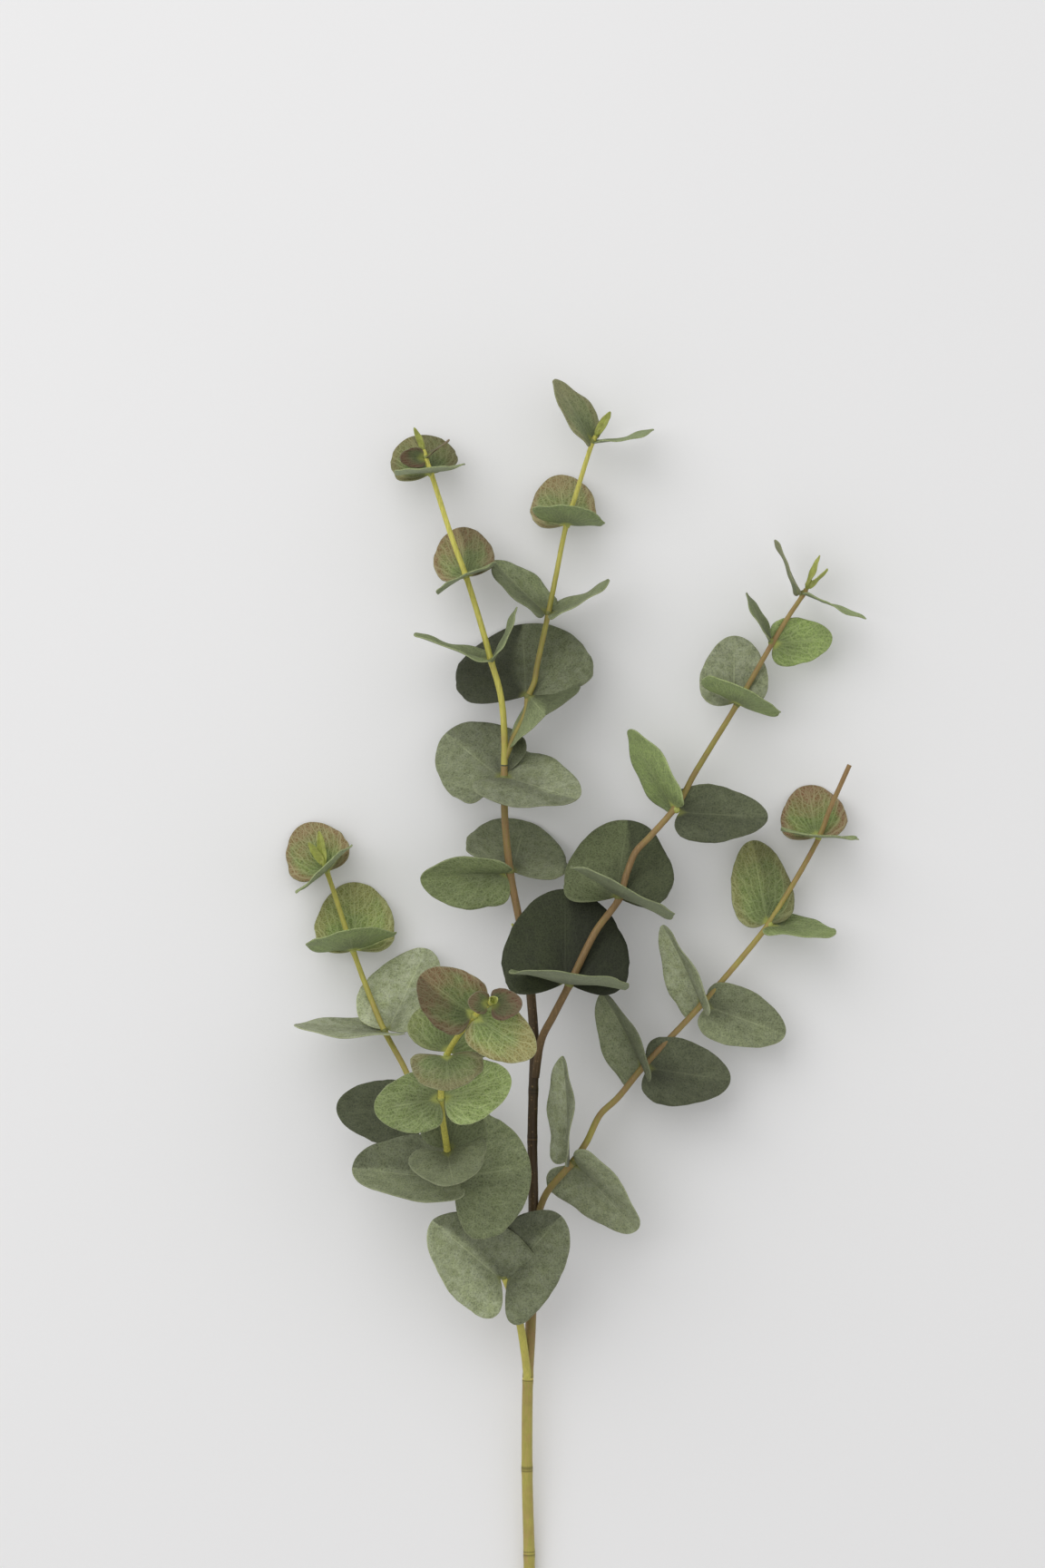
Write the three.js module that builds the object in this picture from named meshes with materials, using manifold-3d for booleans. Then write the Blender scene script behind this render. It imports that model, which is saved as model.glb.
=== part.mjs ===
// A cut eucalyptus branch with round silver leaves in opposite pairs, lying on a table.
//
// Millimetres, +Z up. The table is the plane Z = 0. The stem's cut end is at the origin and the branch
// runs along +Y. The origin is on the small flat where the stem's underside rests.
//
// Every stem is a turned profile bent along its own line. Every pair of leaves is one piece: two blades
// that grow from one collar, and the stem passes through the collar with a small clearance.

import * as THREE from "three";
import { mergeVertices } from "three/addons/utils/BufferGeometryUtils.js";
import Module from "manifold-3d";

const wasm = await Module();
wasm.setup();

// Driving dimensions

const BLADE_THICKNESS = 0.75;
const CLEARANCE = 0.3; // between a stem and whatever sits on it
const COLLAR_WALL = 0.9;
const COLLAR_HEIGHT = 2.4;
const COLLAR_FLARE = 1.12; // its lower edge over its upper one
const ROOT_DEPTH = 0.25; // from the collar's inner face to where a midrib starts
const RING_SWELLING = 1.09;
const RING_BELOW = 1.5; // a joint ring's slope below and above its crest
const RING_ABOVE = 1.7;
const MAIN_SIDES = 8;
const TWIG_SIDES = 6;
const COLLAR_SIDES = 6;
const RING_STEP = 14; // distance between rings of a stem
const BLADE_ROWS = 7; // base to tip
const LEAFLET_ROWS = 4; // the same in a bud and its smallest leaves
const SMALL_BLADE = 13; // blades up to this length are drawn like leaflets
const BLADE_COLUMNS = [-1, -0.55, 0, 0.55, 1]; // left edge, midrib, right edge
const LINE_STEPS = 400; // places tried on a line for the one nearest to a pair of leaves
const TABLE_SIZE = [1000, 1400, 40];
const DEGREE = Math.PI / 180;

// Outline of a blade, as shares of its length and width
const BASE_LOBE = 0.13; // how far the round lobes reach back past the base
const FULLER_BASE = 0.16; // moves the widest place towards the base
const TIP_POINT = 0.03;
const TIP_SHARPNESS = 8;
const FLATTER_TIP = 0.45; // how much less the blade is folded at its tip
const LEAST_BEND = 0.5; // degrees, so that a flat blade still has an arc

// Stems. Each line's points are [x, y, z]. radius is at the foot and at the tip. parent is the stem that
// the foot is fitted to.

const STEMS = {
  main_stem: {
    radius: [2.35, 1.85],
    sides: MAIN_SIDES,
    joints: [68, 102, 138, 233, 252],
    line: [
      [0.2, -8, 2.0],
      [0, 8, 2.0],
      [-0.2, 30, 2.3],
      [0.2, 62, 4],
      [-0.7, 102.6, 8],
      [-0.4, 136.8, 12],
      [0.7, 158.4, 15],
      [1.8, 205.2, 21],
      [1.4, 232.9, 23.5],
      [1.8, 252.7, 24.5],
      [2.2, 270, 25],
      [0.7, 291.6, 25],
      [0.2, 298.6, 24.8],
    ],
  },
  upper_stem: {
    radius: [1.6, 1.35],
    line: [
      [0.1, 299.2, 24.7],
      [-3.6, 318.6, 23.5],
      [-7.2, 337, 24],
      [-9.4, 358.2, 25],
      [-9.7, 375.5, 25.5],
      [-9.7, 380, 25.7],
    ],
  },
  twig_top_left: {
    radius: [1.3, 0.95],
    line: [
      [-9.7, 380.6, 25.7],
      [-9.6, 390, 26.5],
      [-10.4, 403.2, 27.5],
      [-11.9, 411.5, 28],
      [-14.8, 421.2, 28.5],
      [-16.9, 429.1, 28.5],
      [-24.5, 454, 27],
      [-29.9, 468.7, 25.5],
      [-38.5, 495.4, 22],
      [-40.3, 500.5, 21.5],
      [-41.6, 504.8, 21],
    ],
  },
  twig_top_right: {
    radius: [1.2, 0.9],
    parent: "twig_top_left",
    line: [
      [-9.4, 383, 25.8],
      [-6.1, 391, 26],
      [-1.1, 401.4, 25],
      [-0.4, 406.8, 24.5],
      [2.2, 413.3, 24],
      [3.2, 419.4, 23.5],
      [7.6, 439.9, 22],
      [10.4, 453.6, 21],
      [14.8, 475.2, 19],
      [18.4, 486.7, 18.5],
      [25.2, 508, 18],
      [26.4, 510.4, 18],
    ],
  },
  twig_right_upper: {
    radius: [1.6, 0.9],
    parent: "main_stem",
    line: [
      [2.5, 257.4, 25.8],
      [5, 272.5, 29],
      [9.7, 281.9, 32],
      [15.8, 293.8, 34],
      [26.3, 315, 33],
      [35.6, 328, 31.5],
      [38.5, 337.7, 30],
      [42.1, 346.3, 29],
      [47.2, 351.7, 28],
      [58.7, 365, 26],
      [65.5, 377.3, 24.5],
      [82.1, 404.3, 21.5],
      [95.8, 428, 20],
      [102.6, 439.2, 19.5],
      [108.4, 447.8, 19],
      [109.6, 449.9, 19],
    ],
  },
  twig_right_lower: {
    radius: [1.4, 0.95],
    parent: "main_stem",
    line: [
      [2, 197.3, 20.5],
      [6.8, 211.3, 23.5],
      [17.3, 223.9, 25.5],
      [22.7, 231.8, 25.5],
      [28.1, 242.6, 25],
      [34.9, 249.1, 24],
      [45.7, 262.1, 22],
      [68.8, 286.6, 18.5],
      [91.4, 313.2, 16],
      [95.8, 319.3, 15.5],
      [114.5, 351.4, 14.5],
      [118.8, 362.5, 15],
      [126.7, 380.5, 17],
    ],
  },
  twig_left_base: {
    radius: [1.6, 1.4],
    parent: "main_stem",
    line: [
      [-0.5, 138, 13],
      [-1.6, 148, 16.5],
      [-4, 162, 21.5],
      [-9.7, 179.3, 29],
      [-19.1, 197.3, 38],
      [-25.6, 208.1, 44],
    ],
  },
  twig_front: {
    radius: [1.4, 1.0],
    line: [
      [-26, 208.8, 44.4],
      [-30.6, 218.6, 53],
      [-31.8, 229.7, 66],
      [-34.2, 250.9, 82],
      [-31.7, 268.2, 98],
      [-20.9, 283.7, 113],
      [-15.1, 288.7, 122],
      [-14.6, 289.3, 123.5],
    ],
  },
  twig_left: {
    radius: [1.3, 0.95],
    parent: "twig_left_base",
    line: [
      [-24.6, 206.4, 42.9],
      [-32, 225, 36],
      [-42.5, 243, 30],
      [-48.2, 259.2, 25.5],
      [-56.9, 275.4, 21.5],
      [-62.3, 288, 18],
      [-69.5, 307.1, 14],
      [-74.5, 322.2, 12.5],
      [-79.9, 338.4, 11.5],
      [-80.8, 340.6, 11.5],
    ],
  },
};

// Leaves. at is where the pair sits on its stem's line. Each blade is
// [length, width, heading, lift, roll, bend, fold]: heading turns the midrib in the plane of the table
// from +X towards +Y, lift raises it from the table, roll turns the face about the midrib, bend curls
// the tip towards the upper face, and fold raises both halves into a V. Angles are in degrees.

const PAIRS = {
  leaves_low: {
    stem: "twig_left_base",
    at: [-9.7, 179.3, 29],
    blades: [
      [42, 36, 138, 30, 0, 8, 22, 0.25],
      [34, 38, 49, 22, 0, 8, 28, 0.42],
    ],
  },
  leaves_front_1: {
    stem: "twig_front",
    at: [-30.6, 218.6, 53],
    blades: [
      [36, 36, 175, 0, -34, 5, 36, 0.3],
      [29, 50, 8, -5, 0, 5, 8],
    ],
  },
  leaves_front_2: {
    stem: "twig_front",
    at: [-31.8, 229.7, 66],
    blades: [
      [24, 31, -78, 60, 0, 5, 12, 0.25],
      [20, 26, 72, 5, 0, 5, 10],
    ],
  },
  leaves_front_3: {
    stem: "twig_front",
    at: [-34.2, 250.9, 82],
    blades: [
      [24, 24, 190, 5, 0, 5, 12],
      [26, 25, 18, 0, 0, 5, 12],
    ],
  },
  leaves_front_4: {
    stem: "twig_front",
    at: [-31.7, 268.2, 98],
    blades: [
      [23, 34, 78, -25, 0, 5, 8],
      [24, 28, -88, 58, 0, 5, 8],
    ],
  },
  leaves_front_5: {
    stem: "twig_front",
    at: [-20.9, 283.7, 113],
    blades: [
      [25, 25, 143, 12, 0, 8, 12],
      [26, 22, -32, 10, 0, 8, 8],
    ],
  },
  leaves_front_6: {
    stem: "twig_front",
    at: [-15.1, 288.7, 122],
    blades: [
      [12, 12.5, 2, 20, 0, 10, 10],
      [9, 9, 172, 35, 0, 10, 10],
    ],
  },
  leaves_left_1: {
    stem: "twig_left",
    at: [-42.5, 243, 30],
    blades: [
      [31, 27, 174, 0, -15, 5, 10],
      [27, 26, -4, -30, 0, 5, 8],
    ],
  },
  leaves_left_2: {
    stem: "twig_left",
    at: [-56.9, 275.4, 21.5],
    blades: [
      [38, 33, 63, -30, 28, 8, 24],
      [34, 28, 178, 12, -78, 5, 8, 0.3],
    ],
  },
  leaves_left_3: {
    stem: "twig_left",
    at: [-69.5, 307.1, 14],
    blades: [
      [29, 32, 92, -28.5, 0, 5, 8],
      [25, 36, -81, 106, 0, 5, 8],
    ],
  },
  leaves_left_4: {
    stem: "twig_left",
    at: [-79.9, 338.4, 11.5],
    blades: [
      [22, 26, 118, -25, 0, 5, 12],
      [22, 29, -48, 92, 0, 5, 5],
    ],
  },
  leaves_right_lower_1: {
    stem: "twig_right_lower",
    at: [17.6, 223.9, 25.5],
    blades: [
      [40, 25, 91, 5, 68, 5, 25],
      [34, 30, -46, -5, -42, 5, 22, 0.25],
    ],
  },
  leaves_right_lower_2: {
    stem: "twig_right_lower",
    at: [45.7, 262.1, 22],
    blades: [
      [31, 25, 117, 8, 50, 5, 38, 0.3],
      [32, 27, -9, -5, 10, 5, 8],
    ],
  },
  leaves_right_lower_3: {
    stem: "twig_right_lower",
    at: [69.1, 286.3, 18.5],
    blades: [
      [33, 23, 114, 8, 58, 5, 26, 0.25],
      [32, 24, -20, -5, 5, 5, 8],
    ],
  },
  leaves_right_lower_4: {
    stem: "twig_right_lower",
    at: [95.4, 317.5, 15.6],
    blades: [
      [33, 25, 100, -18, 0, 5, 20],
      [26, 24, -8, 25, 70, 0, 5],
    ],
  },
  leaves_right_lower_5: {
    stem: "twig_right_lower",
    at: [114.5, 351.7, 14.5],
    blades: [
      [24, 26, 98, -36, 0, 5, 6],
      [22, 31, -96, 92, 0, 0, 5],
    ],
  },
  leaves_right_upper_1: {
    stem: "twig_right_upper",
    at: [15.8, 294.1, 34],
    blades: [
      [37, 50, 90, -18, 0, 5, 8, 0.24],
      [32, 47, -97, 96, 0, 5, 5],
    ],
  },
  leaves_right_upper_2: {
    stem: "twig_right_upper",
    at: [35.3, 328.3, 31.5],
    blades: [
      [35, 43, 81, -35, 8, 5, 5, 0.22],
      [30, 45, -117, 98, 0, 0, 5],
    ],
  },
  leaves_right_upper_3: {
    stem: "twig_right_upper",
    at: [58, 362.9, 26.3],
    blades: [
      [34, 25, 122, 0, -118, 5, 5],
      [34, 23, -4, -5, 15, 5, 8],
    ],
  },
  leaves_right_upper_4: {
    stem: "twig_right_upper",
    at: [82.1, 404.3, 21.5],
    blades: [
      [28, 27, 89, -25, 5, 5, 12],
      [22, 34, -114, 106, 0, 0, 5],
    ],
  },
  leaves_right_upper_5: {
    stem: "twig_right_upper",
    at: [95.8, 429.1, 20],
    blades: [
      [20, 16, 118, 0, -78, 5, 8],
      [23, 19, 6, -10, 175, 5, 8],
    ],
  },
  leaves_right_upper_6: {
    stem: "twig_right_upper",
    at: [108, 448.2, 19],
    blades: [
      [22, 15, 112, 0, 84, 5, 5],
      [25, 17, -22, 0, 85, 0, 5],
    ],
  },
  leaves_upper_1: {
    stem: "upper_stem",
    at: [-7.4, 338.4, 24],
    blades: [
      [28, 41, 74, -48, 0, 5, 6],
      [33, 29, 182, 8, 38, 5, 36],
    ],
  },
  leaves_upper_2: {
    stem: "upper_stem",
    at: [-9.7, 375.5, 25.5],
    blades: [
      [31, 37, 142, -32, -16, 5, 5],
      [33, 33, -18, 33, 46, 0, 8, 0.32],
    ],
  },
  leaves_top_right_1: {
    stem: "twig_top_right",
    at: [-0.4, 407.5, 24.5],
    blades: [
      [35, 55, 92, -40, 8, 5, 4],
      [22, 42, -50, 64, 0, 0, -36, 0.34],
    ],
  },
  leaves_top_right_2: {
    stem: "twig_top_right",
    at: [7.6, 440.3, 22],
    blades: [
      [28, 24, 137, -8, -58, 5, 12],
      [26, 22, 19, 5, 76, 22, 5],
    ],
  },
  leaves_top_right_3: {
    stem: "twig_top_right",
    at: [15.1, 475.2, 19],
    blades: [
      [24, 26, 97, -38, 0, 5, 6],
      [23, 29, -99, 106, 0, 0, 5],
    ],
  },
  leaves_top_right_4: {
    stem: "twig_top_right",
    at: [25.2, 508.3, 18],
    blades: [
      [27, 21, 118, 10, -60, -8, 12],
      [23, 19, 3, 0, 83, 18, 3],
    ],
  },
  leaves_top_left_1: {
    stem: "twig_top_left",
    at: [-14.8, 421.9, 28.5],
    blades: [
      [30, 22, 163, 5, -80, 5, 10],
      [22, 16, 58, 12, 82, 16, 8],
    ],
  },
  leaves_top_left_2: {
    stem: "twig_top_left",
    at: [-24.8, 454.7, 27],
    blades: [
      [23, 24, 100, -36, 5, 5, 8],
      [22, 26, -65, 88, 0, 5, -5],
    ],
  },
  leaves_top_left_3: {
    stem: "twig_top_left",
    at: [-38.8, 495.4, 22],
    blades: [
      [22, 27, 118, -44, -14, 5, 6],
      [22, 28, -84, 93, 0, 0, 5],
    ],
  },
  leaves_top_left_4: {
    stem: "twig_top_left",
    at: [-40.7, 501.9, 21.3],
    blades: [
      [10.5, 8.4, 184, 24, -10, 20, 12],
      [11, 5.6, 36, 24, 80, 0, 5],
    ],
  },
};

// Buds. Each leaflet is a blade as above, and core is the length and radius of the closed middle.

const BUDS = {
  bud_top_left: {
    stem: "twig_top_left",
    core: [6.5, 1.2],
    leaflets: [[8.5, 2.6, 114, 28, 0, -5, 30]],
  },
  bud_top_right: {
    stem: "twig_top_right",
    core: [9.5, 1.6],
    leaflets: [[10, 3.6, 58, 20, 0, 5, 30]],
  },
  bud_right_upper: {
    stem: "twig_right_upper",
    core: [4, 1.2],
    leaflets: [
      [12.5, 3.6, 68, 10, 60, 0, 25],
      [10, 3.6, 42, -10, -60, 0, 25],
    ],
  },
  bud_left: {
    stem: "twig_left",
    core: [4, 1.3],
    leaflets: [
      [12.5, 3.8, 97, 15, 0, 0, 30],
      [10, 3.6, 125, 20, 20, 0, 25],
    ],
  },
  bud_front: {
    stem: "twig_front",
    core: [3.5, 1.4],
    leaflets: [
      [7, 3.4, 20, 60, 0, 20, 25],
      [6.5, 3.4, 200, 70, 0, 20, 25],
    ],
  },
};

// A bud's outline from foot to tip: shares of its radius and length
const BUD_PROFILE = [
  [0, 0],
  [0.8, 0],
  [1, 0.4],
  [0.75, 0.75],
  [0, 1],
];
const LEAFLET_HEIGHT = 1.2; // of a leaflet's root above the bud's foot

const LOOKS = {
  bark: { color: 0x6b6434, roughness: 0.6 },
  twig: { color: 0x8d8446, roughness: 0.6 },
  leaf: { color: 0x66765a, roughness: 0.7 },
  bud: { color: 0xa9ad3c, roughness: 0.5 },
};

const vector = (point) => new THREE.Vector3(...point);

const lineOf = (name) =>
  new THREE.CatmullRomCurve3(
    STEMS[name].line.map(vector),
    false,
    "centripetal",
  );

const solidOf = (geometry) => {
  const bare = geometry.clone();
  bare.deleteAttribute("normal");
  bare.deleteAttribute("uv");
  const merged = mergeVertices(bare, 1e-4);
  const index = merged.index.array;
  const kept = [];
  for (let i = 0; i < index.length; i += 3) {
    const [a, b, c] = [index[i], index[i + 1], index[i + 2]];
    if (a !== b && b !== c && c !== a) kept.push(a, b, c);
  }
  return new wasm.Manifold(
    new wasm.Mesh({
      numProp: 3,
      vertProperties: merged.attributes.position.array,
      triVerts: new Uint32Array(kept),
    }),
  );
};

const geometryOf = (solid) => {
  const mesh = solid.getMesh();
  const geometry = new THREE.BufferGeometry();
  geometry.setAttribute(
    "position",
    new THREE.BufferAttribute(new Float32Array(mesh.vertProperties), 3),
  );
  geometry.setIndex(
    new THREE.BufferAttribute(new Uint32Array(mesh.triVerts), 1),
  );
  geometry.computeVertexNormals();
  return geometry;
};

const largestBody = (solid) =>
  solid.decompose().reduce((a, b) => (a.volume() > b.volume() ? a : b));

// A stem's radius at a share of its length, with a slight swelling under each joint ring
const stemRadius = (stem, share, y, extra) => {
  const onRing = (stem.joints ?? []).some((joint) => Math.abs(joint - y) < 1);
  return (
    THREE.MathUtils.lerp(stem.radius[0], stem.radius[1], share) *
      (onRing ? RING_SWELLING : 1) +
    extra
  );
};

// How far along a line it first reaches a distance from the cut end
const shareAtHeight = (curve, y) => {
  let [low, high] = [0, 1];
  for (let i = 0; i < 30; i += 1) {
    const middle = (low + high) / 2;
    if (curve.getPointAt(middle).y < y) low = middle;
    else high = middle;
  }
  return low;
};

// A turned piece, bent from the Y axis onto a line
const bentAlong = (turned, curve, length) => {
  const place = turned.attributes.position;
  const up = new THREE.Vector3(0, 0, 1);
  for (let i = 0; i < place.count; i += 1) {
    const along = place.getY(i);
    const share = THREE.MathUtils.clamp(along / length, 0, 1);
    const tangent = curve.getTangentAt(share);
    const side = new THREE.Vector3().crossVectors(tangent, up).normalize();
    const over = new THREE.Vector3().crossVectors(side, tangent);
    const point = curve
      .getPointAt(share)
      .addScaledVector(side, place.getX(i))
      .addScaledVector(over, place.getZ(i))
      .addScaledVector(tangent, along - share * length);
    place.setXYZ(i, point.x, point.y, point.z);
  }
  return turned;
};

// A turned profile, closed on its axis at both ends, bent along the stem's line
const stemSolid = (name, extra = 0) => {
  const stem = STEMS[name];
  const curve = lineOf(name);
  const length = curve.getLength();
  const steps = Math.max(4, Math.round(length / RING_STEP));
  const shares = [];
  for (let i = 0; i <= steps; i += 1) shares.push(i / steps);
  for (const joint of stem.joints ?? []) {
    const near = shareAtHeight(curve, joint);
    shares.push(near - RING_BELOW / length, near, near + RING_ABOVE / length);
  }
  shares.sort((a, b) => a - b);
  const profile = [new THREE.Vector2(0, -extra)];
  for (const share of shares) {
    const y = curve.getPointAt(share).y;
    const along =
      share === 0 ? -extra : share === 1 ? length + extra : share * length;
    profile.push(new THREE.Vector2(stemRadius(stem, share, y, extra), along));
  }
  profile.push(new THREE.Vector2(0, length + extra));
  const turned = new THREE.LatheGeometry(
    profile,
    stem.sides ?? TWIG_SIDES,
  );
  return solidOf(bentAlong(turned, curve, length));
};

// The blade's own directions: along the midrib, out of the upper face, and across to its left edge
const bladeFrame = (heading, lift, roll) => {
  const [h, l, r] = [heading * DEGREE, lift * DEGREE, roll * DEGREE];
  const along = new THREE.Vector3(
    Math.cos(l) * Math.cos(h),
    Math.cos(l) * Math.sin(h),
    Math.sin(l),
  );
  const face = new THREE.Vector3(
    -Math.sin(l) * Math.cos(h),
    -Math.sin(l) * Math.sin(h),
    Math.cos(l),
  );
  const left = new THREE.Vector3().crossVectors(face, along);
  return {
    along,
    out: face
      .clone()
      .multiplyScalar(Math.cos(r))
      .addScaledVector(left, Math.sin(r)),
    across: left
      .clone()
      .multiplyScalar(Math.cos(r))
      .addScaledVector(face, -Math.sin(r)),
  };
};

// A point of the blade's middle surface, t from base to tip and v from -1 to 1 across. The outline is a
// round loop with two lobes behind its base, and the halves fold up about a midrib that bends as an arc.
const bladePoint = (blade, frame, t, v) => {
  const [length, width, , , , bend, fold, lobe = BASE_LOBE] = blade;
  const turn = Math.PI * t;
  const towardsTip = (1 - Math.cos(turn)) / 2;
  const edge =
    length *
    (towardsTip -
      lobe * Math.sin(turn) * (1 - towardsTip) * 2 +
      TIP_POINT * towardsTip ** TIP_SHARPNESS);
  const half =
    (width / 2) * Math.sin(turn) * (1 + FULLER_BASE * Math.cos(turn));
  const out = Math.abs(v);
  const rib = length * t * (1 + TIP_POINT * t ** TIP_SHARPNESS);
  const forward = THREE.MathUtils.lerp(rib, edge, out);
  const opening = fold * DEGREE * (1 - FLATTER_TIP * t);
  const [across, rise] = [
    half * v * Math.cos(opening),
    half * out * Math.sin(opening),
  ];
  const arc = length / ((Math.abs(bend) < LEAST_BEND ? LEAST_BEND : bend) * DEGREE);
  const curl = forward / arc;
  return new THREE.Vector3()
    .addScaledVector(frame.along, (arc - rise) * Math.sin(curl))
    .addScaledVector(
      frame.out,
      arc * (1 - Math.cos(curl)) + rise * Math.cos(curl),
    )
    .addScaledVector(frame.across, across);
};

// The middle surface as points and triangles. Its base and its tip are single points.
const bladeSurface = (blade, root) => {
  const [length, , heading, lift, roll] = blade;
  const frame = bladeFrame(heading, lift, roll);
  const rows = length <= SMALL_BLADE ? LEAFLET_ROWS : BLADE_ROWS;
  const across = BLADE_COLUMNS.length;
  const points = [bladePoint(blade, frame, 0, 0)];
  for (let i = 1; i < rows; i += 1)
    for (const v of BLADE_COLUMNS)
      points.push(bladePoint(blade, frame, i / rows, v));
  points.push(bladePoint(blade, frame, 1, 0));
  for (const point of points) point.add(root);

  const tip = points.length - 1;
  const spot = (i, j) =>
    i === 0 ? 0 : i === rows ? tip : 1 + (i - 1) * across + j;
  const faces = [];
  const face = (a, b, c) => {
    if (a !== b && b !== c && c !== a) faces.push([a, b, c]);
  };
  for (let i = 0; i < rows; i += 1) {
    for (let j = 0; j < across - 1; j += 1) {
      const [a, b] = [spot(i, j), spot(i + 1, j)];
      const [c, d] = [spot(i + 1, j + 1), spot(i, j + 1)];
      if (j < (across - 1) / 2) {
        face(a, c, b);
        face(a, d, c);
      } else {
        face(a, d, b);
        face(b, d, c);
      }
    }
  }
  const rim = [0];
  for (let i = 1; i < rows; i += 1) rim.push(spot(i, across - 1));
  rim.push(tip);
  for (let i = rows - 1; i > 0; i -= 1) rim.push(spot(i, 0));
  return { points, faces, rim };
};

const bladeSolid = (blade, root) => {
  const { points, faces, rim } = bladeSurface(blade, root);
  const surface = new THREE.BufferGeometry().setFromPoints(points);
  surface.setIndex(faces.flat());
  surface.computeVertexNormals();
  const normals = surface.attributes.normal;
  const position = [];
  for (const side of [1, -1]) {
    points.forEach((point, i) => {
      const normal = new THREE.Vector3().fromBufferAttribute(normals, i);
      const place = point
        .clone()
        .addScaledVector(normal, (side * BLADE_THICKNESS) / 2);
      position.push(place.x, place.y, place.z);
    });
  }
  const under = points.length;
  const index = [];
  for (const [a, b, c] of faces)
    index.push(a, b, c, under + a, under + c, under + b);
  rim.forEach((a, k) => {
    const b = rim[(k + 1) % rim.length];
    index.push(a, under + a, under + b, a, under + b, b);
  });
  const blade3d = new THREE.BufferGeometry();
  blade3d.setAttribute(
    "position",
    new THREE.Float32BufferAttribute(position, 3),
  );
  blade3d.setIndex(index);
  return solidOf(blade3d);
};

// Where a blade grows from: the side of the collar that its midrib leaves by
const rootOf = (blade, at, tangent, stemAcross) => {
  const { along } = bladeFrame(blade[2], blade[3], blade[4]);
  const outward = along
    .clone()
    .addScaledVector(tangent, -along.dot(tangent))
    .normalize();
  return at.clone().addScaledVector(outward, stemAcross + CLEARANCE + ROOT_DEPTH);
};

// The direction and radius of a stem at the point of its line nearest to a place
const stemDirection = (name, at) => {
  const curve = lineOf(name);
  let best = { share: 0, gap: Infinity };
  for (let i = 0; i <= LINE_STEPS; i += 1) {
    const share = i / LINE_STEPS;
    const gap = curve.getPointAt(share).distanceTo(at);
    if (gap < best.gap) best = { share, gap };
  }
  return {
    tangent: curve.getTangentAt(best.share),
    radius: stemRadius(STEMS[name], best.share, at.y, 0),
  };
};

const turnedTo = (geometry, direction) => {
  const up = new THREE.Vector3(0, 1, 0);
  return geometry.applyQuaternion(
    new THREE.Quaternion().setFromUnitVectors(up, direction),
  );
};

const collarSolid = (at, tangent, radius) => {
  const cylinder = turnedTo(
    new THREE.CylinderGeometry(
      radius,
      radius * COLLAR_FLARE,
      COLLAR_HEIGHT,
      COLLAR_SIDES,
    ),
    tangent,
  );
  cylinder.translate(at.x, at.y, at.z);
  return solidOf(cylinder);
};

// What the branch lies on: whatever would reach below it is cut level
const tableSlab = new THREE.BoxGeometry(...TABLE_SIZE);
tableSlab.translate(0, 0, -TABLE_SIZE[2] / 2);
const table = solidOf(tableSlab);

const aboveTable = (solid) =>
  solid.boundingBox().min[2] < 0 ? solid.subtract(table) : solid;

// A pair of leaves on its collar, with the stem's way through it
const pairSolid = (pair) => {
  const at = vector(pair.at);
  const { tangent, radius } = stemDirection(pair.stem, at);
  let solid = collarSolid(at, tangent, radius + CLEARANCE + COLLAR_WALL);
  for (const blade of pair.blades)
    solid = solid.add(bladeSolid(blade, rootOf(blade, at, tangent, radius)));
  return solid.subtract(stemSolid(pair.stem, CLEARANCE));
};

// The closed middle of a bud, on the end of its stem
const budCore = (length, radius) =>
  new THREE.LatheGeometry(
    BUD_PROFILE.map(
      ([across, along]) => new THREE.Vector2(across * radius, along * length),
    ),
    COLLAR_SIDES,
  );

const budSolid = (bud) => {
  const end = lineOf(bud.stem).getPointAt(1);
  const tangent = lineOf(bud.stem).getTangentAt(1);
  const core = turnedTo(budCore(...bud.core), tangent);
  const foot = end.clone().addScaledVector(tangent, CLEARANCE);
  core.translate(foot.x, foot.y, foot.z);
  const root = foot.clone().addScaledVector(tangent, LEAFLET_HEIGHT);
  let solid = solidOf(core);
  for (const leaflet of bud.leaflets)
    solid = solid.add(bladeSolid(leaflet, root));
  return solid.subtract(stemSolid(bud.stem, CLEARANCE));
};

const branch = new THREE.Group();

const addPiece = (name, solid, look) => {
  const mesh = new THREE.Mesh(
    geometryOf(largestBody(aboveTable(solid))),
    new THREE.MeshStandardMaterial({ ...look, metalness: 0 }),
  );
  mesh.name = name;
  branch.add(mesh);
};

for (const [name, stem] of Object.entries(STEMS)) {
  let solid = stemSolid(name);
  if (stem.parent) solid = solid.subtract(stemSolid(stem.parent, CLEARANCE));
  addPiece(name, solid, name === "main_stem" ? LOOKS.bark : LOOKS.twig);
}

for (const [name, pair] of Object.entries(PAIRS))
  addPiece(name, pairSolid(pair), LOOKS.leaf);

for (const [name, bud] of Object.entries(BUDS))
  addPiece(name, budSolid(bud), LOOKS.bud);

export default branch;
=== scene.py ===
"""A cut eucalyptus branch with round leaves in opposite pairs, lying on a table and seen from above."""

import math
from collections import namedtuple

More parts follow.
